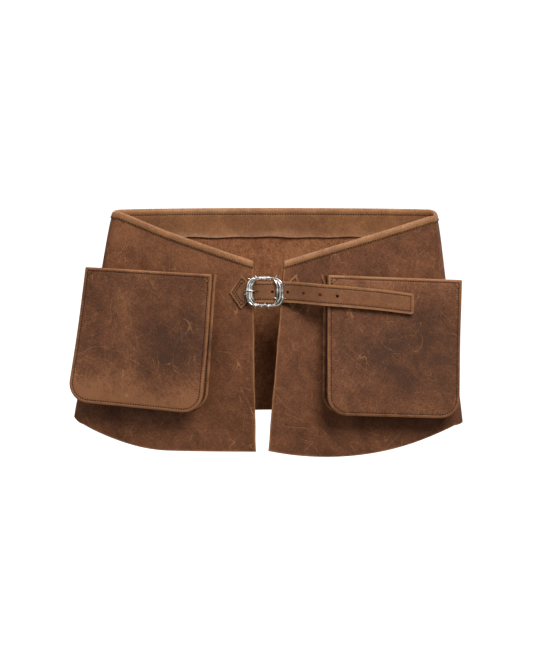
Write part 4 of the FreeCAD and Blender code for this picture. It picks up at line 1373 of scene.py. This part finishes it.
def round_rings(line, along, radius, sides):
    """A ring of points round each point of a line."""
    first = unit(np.cross(along, BAR_SIDEWAYS))
    second = np.cross(along, first)
    turn = np.linspace(0, 2 * math.pi, sides, endpoint=False)[None, :, None]
    radius = np.broadcast_to(radius, len(line))[:, None, None]
    return line[:, None] + radius * np.cos(turn) * first[:, None] + radius * np.sin(turn) * second[:, None]


def round_loop(skin, line, radius, sides):
    """A round bar along a closed line of points."""
    along = unit(np.roll(line, -1, axis=0) - np.roll(line, 1, axis=0))
    index = np.arange(len(line) * sides).reshape(-1, sides)
    following, below = np.roll(index, -1, axis=1), np.roll(index, -1, axis=0)
    faces = np.stack([index, following, np.roll(below, -1, axis=1), below], axis=-1).reshape(-1, 4)
    skin.add(round_rings(line, along, radius, sides), faces)


def round_bar(skin, line, radius, sides):
    """A round bar along a line of points, with rounded ends."""
    radius = np.broadcast_to(radius, len(line))
    along = unit(np.gradient(line, axis=0))
    rise, shrink = np.sin(CAP_TURNS)[:, None], np.cos(CAP_TURNS)
    before = line[0] - along[0] * radius[0] * rise[::-1]
    after = line[-1] + along[-1] * radius[-1] * rise
    radius = np.concatenate([radius[0] * shrink[::-1], radius, radius[-1] * shrink])
    along = np.concatenate([np.repeat(along[:1], 3, 0), along, np.repeat(along[-1:], 3, 0)])
    rings = round_rings(np.concatenate([before, line, after]), along, radius, sides)
    base = skin.total
    skin.add(rings, grid_quads(len(rings), sides, wrap=True))
    for start in (base, skin.total - sides):
        skin.faces.append([start + k for k in range(sides)])
        skin.finish.append(GRAIN)


def make_ring():
    """Three cast strands that spread at the sides, with a row of small blunt points."""
    skin = Skin()
    line, outward = ring_way(RING_POINTS)
    at = np.arange(len(line)) / len(line) * 2 * math.pi
    side_share = smooth(np.abs(outward[:, 0]), 0.25, 0.9)
    for strand, phase in enumerate((0.0, 2.1, 4.2)):
        apart = np.where(outward[:, 0] < 0, *STRAND_APART[1:])
        spread_out = (strand - 1) * mix(STRAND_APART[0], apart, side_share)
        weave = 0.4 * np.sin(3 * at + phase)
        girth = np.where(outward[:, 0] < 0, *STRAND_RADIUS[1:])
        radius = mix(STRAND_RADIUS[0], girth, side_share) * (1 + 0.07 * np.sin(7 * at + 2 * phase))
        flat = line + outward * (spread_out + weave)[:, None]
        depth = RING_DEPTH - 0.4 * np.cos(3 * at + phase) * (1 - 0.5 * side_share)
        round_loop(skin, buckle_point(flat[:, 0], depth, flat[:, 1]), radius, 12)
    for k in range(BLUNT_POINTS):
        place = int((k + 0.35 * math.sin(2.4 * k)) * len(line) / BLUNT_POINTS) % len(line)
        sign = -1 if k % 4 == 2 and outward[place, 0] > -0.5 else 1
        reach = mix(2.1, 5.4, side_share[place])
        along = unit(line[(place + 1) % len(line)] - line[place])
        root = line[place] + outward[place] * sign * (reach - 1.4)
        tip = root + outward[place] * sign * 3.6 + along * 1.5
        share = np.linspace(0, 1, 5)[:, None]
        spike = mix(root, tip, share)
        depth = RING_DEPTH - 0.5 - 0.6 * share[:, 0]
        round_bar(skin, buckle_point(spike[:, 0], depth, spike[:, 1]), mix(1.25, 0.4, share[:, 0]), 8)
    post = np.linspace(RING_DEPTH, BAR_SETBACK, 7)
    for height in (-POST_HEIGHT, POST_HEIGHT):
        round_bar(skin, buckle_point(0.0, post, height), 2.5, 12)
    piece = skin.piece("buckle_ring", SILVER)
    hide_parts("buckle_frame")
    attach(piece, "buckle")


EYE_RADIUS = 3.05
# the tongue's middle line in plan, from its eye to its tip
TONGUE_WAY = [
    (-1.6, 4.0), (-5.5, 4.3), (-8.8, 3.6), (-11.8, 1.4), (-14.2, -1.8), (-18.0, -6.2), (-26.6, -6.9),
]


def make_tongue():
    skin = Skin()
    turn = np.linspace(0, 2 * math.pi, 28, endpoint=False)
    eye = buckle_point(EYE_RADIUS * np.cos(turn), BAR_SETBACK + EYE_RADIUS * np.sin(turn), 0.4)
    round_loop(skin, eye, 1.1, 10)
    last = len(TONGUE_WAY) - 1
    at = np.linspace(0, last, 44)
    way = smooth_line(np.array(TONGUE_WAY), np.arange(last + 1), at)
    round_bar(skin, buckle_point(*way.T, 0.4 + 0.25 * at), mix(1.5, 1.25, at / last), 12)
    piece = skin.piece("tongue_pin", SILVER)
    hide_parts("buckle_tongue")
    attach(piece, "tongue")


def finish_centre_bar():
    """The centre bar keeps its CAD shape."""
    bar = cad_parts["buckle_centre_bar"]
    bar.data.materials.clear()
    bar.data.materials.append(SILVER)


for side in SIDES:
    make_side_leather(side)
    make_side_band(side)
    make_pocket_front(side)
    make_gusset(side)
    make_pocket_thread(side)
make_back_leather()
make_back_band()
make_strap()
make_tab()
make_ring()
make_tongue()
finish_centre_bar()


# ---- stage, light and camera
FLOOR_RADIUS, FLOOR_GAP = 30, 0.55
CAMERA_HEIGHT = math.radians(5.5)
CAMERA_DISTANCE = 3.5
CAMERA_TARGET = (-0.0116, 0.0, -0.177)
CAMERA_LENS, CAMERA_SENSOR = 130.5, 36.0
LIGHTS = (
    ("key", (0.75, -1.7, 1.25), 1.15, 56),
    ("front_fill", (-1.5, -2.2, 0.25), 1.6, 11),
    ("top", (-0.2, 0.1, 1.7), 0.9, 20),
    ("back_fill", (-0.9, 2.2, 0.9), 1.5, 34),
    ("side_fill", (2.2, 0.9, 0.6), 1.3, 16),
)


def look_at(thing, target):
    thing.rotation_euler = (Vector(target) - thing.location).to_track_quat("-Z", "Y").to_euler()


def add_light(name, place, target, size, power):
    lamp = bpy.data.lights.new(name, "AREA")
    lamp.shape = "DISK"
    lamp.size = size
    lamp.energy = power
    thing = bpy.data.objects.new(name, lamp)
    thing.location = place
    bpy.context.scene.collection.objects.link(thing)
    look_at(thing, target)


def make_stage():
    graph = new_graph("pale_floor")
    floor_tone = graph.noise(graph.node("TexCoord", out="Object"), 0.6, 2.0)
    colour = graph.blend(floor_tone, (0.93, 0.93, 0.93), (0.96, 0.96, 0.96))
    graph.finish(Base_Color=colour, Roughness=0.9, Emission_Color=colour, Emission_Strength=0.8)
    draft = bmesh.new()
    bmesh.ops.create_circle(draft, cap_ends=True, segments=96, radius=FLOOR_RADIUS)
    mesh = bpy.data.meshes.new("floor")
    draft.to_mesh(mesh)
    draft.free()
    mesh.materials.append(graph.owner)
    floor = bpy.data.objects.new("floor", mesh)
    floor.location.z = cad_box[0].z - FLOOR_GAP
    floor.visible_diffuse = False
    floor.visible_glossy = False
    bpy.context.scene.collection.objects.link(floor)


def make_world():
    world = bpy.data.worlds.new("studio")
    bpy.context.scene.world = world
    graph = Graph(world, "OutputWorld")
    height = graph.node("SeparateXYZ", {0: graph.node("TexCoord", out="Generated")}, out="Z")
    limits = {"From Min": -0.6, "From Max": 0.8, "To Min": 0.13, "To Max": 0.5}
    strength = graph.node("MapRange", {"Value": height} | limits)
    seen = graph.node("Background", {"Color": (1, 1, 1, 1), "Strength": 1.0})
    fill = graph.node("Background", {"Color": (1.0, 0.98, 0.96, 1), "Strength": strength})
    ray = graph.node("LightPath", out="Is Camera Ray")
    graph.put(graph.output.inputs["Surface"], graph.node("MixShader", {0: ray, 1: fill, 2: seen}))


def make_camera():
    lens = bpy.data.cameras.new("camera")
    lens.sensor_fit = "VERTICAL"
    lens.sensor_height = CAMERA_SENSOR
    lens.sensor_width = CAMERA_SENSOR
    lens.lens = CAMERA_LENS
    camera = bpy.data.objects.new("camera", lens)
    back = (0, -math.cos(CAMERA_HEIGHT), math.sin(CAMERA_HEIGHT))
    camera.location = Vector(CAMERA_TARGET) + Vector(back) * CAMERA_DISTANCE
    bpy.context.scene.collection.objects.link(camera)
    look_at(camera, CAMERA_TARGET)
    bpy.context.scene.camera = camera


make_stage()
make_world()
middle = (cad_box[0] + cad_box[1]) / 2
for name, place, size, power in LIGHTS:
    add_light(name, place, middle, size, power)
make_camera()
bpy.context.scene.view_settings.view_transform = "Standard"
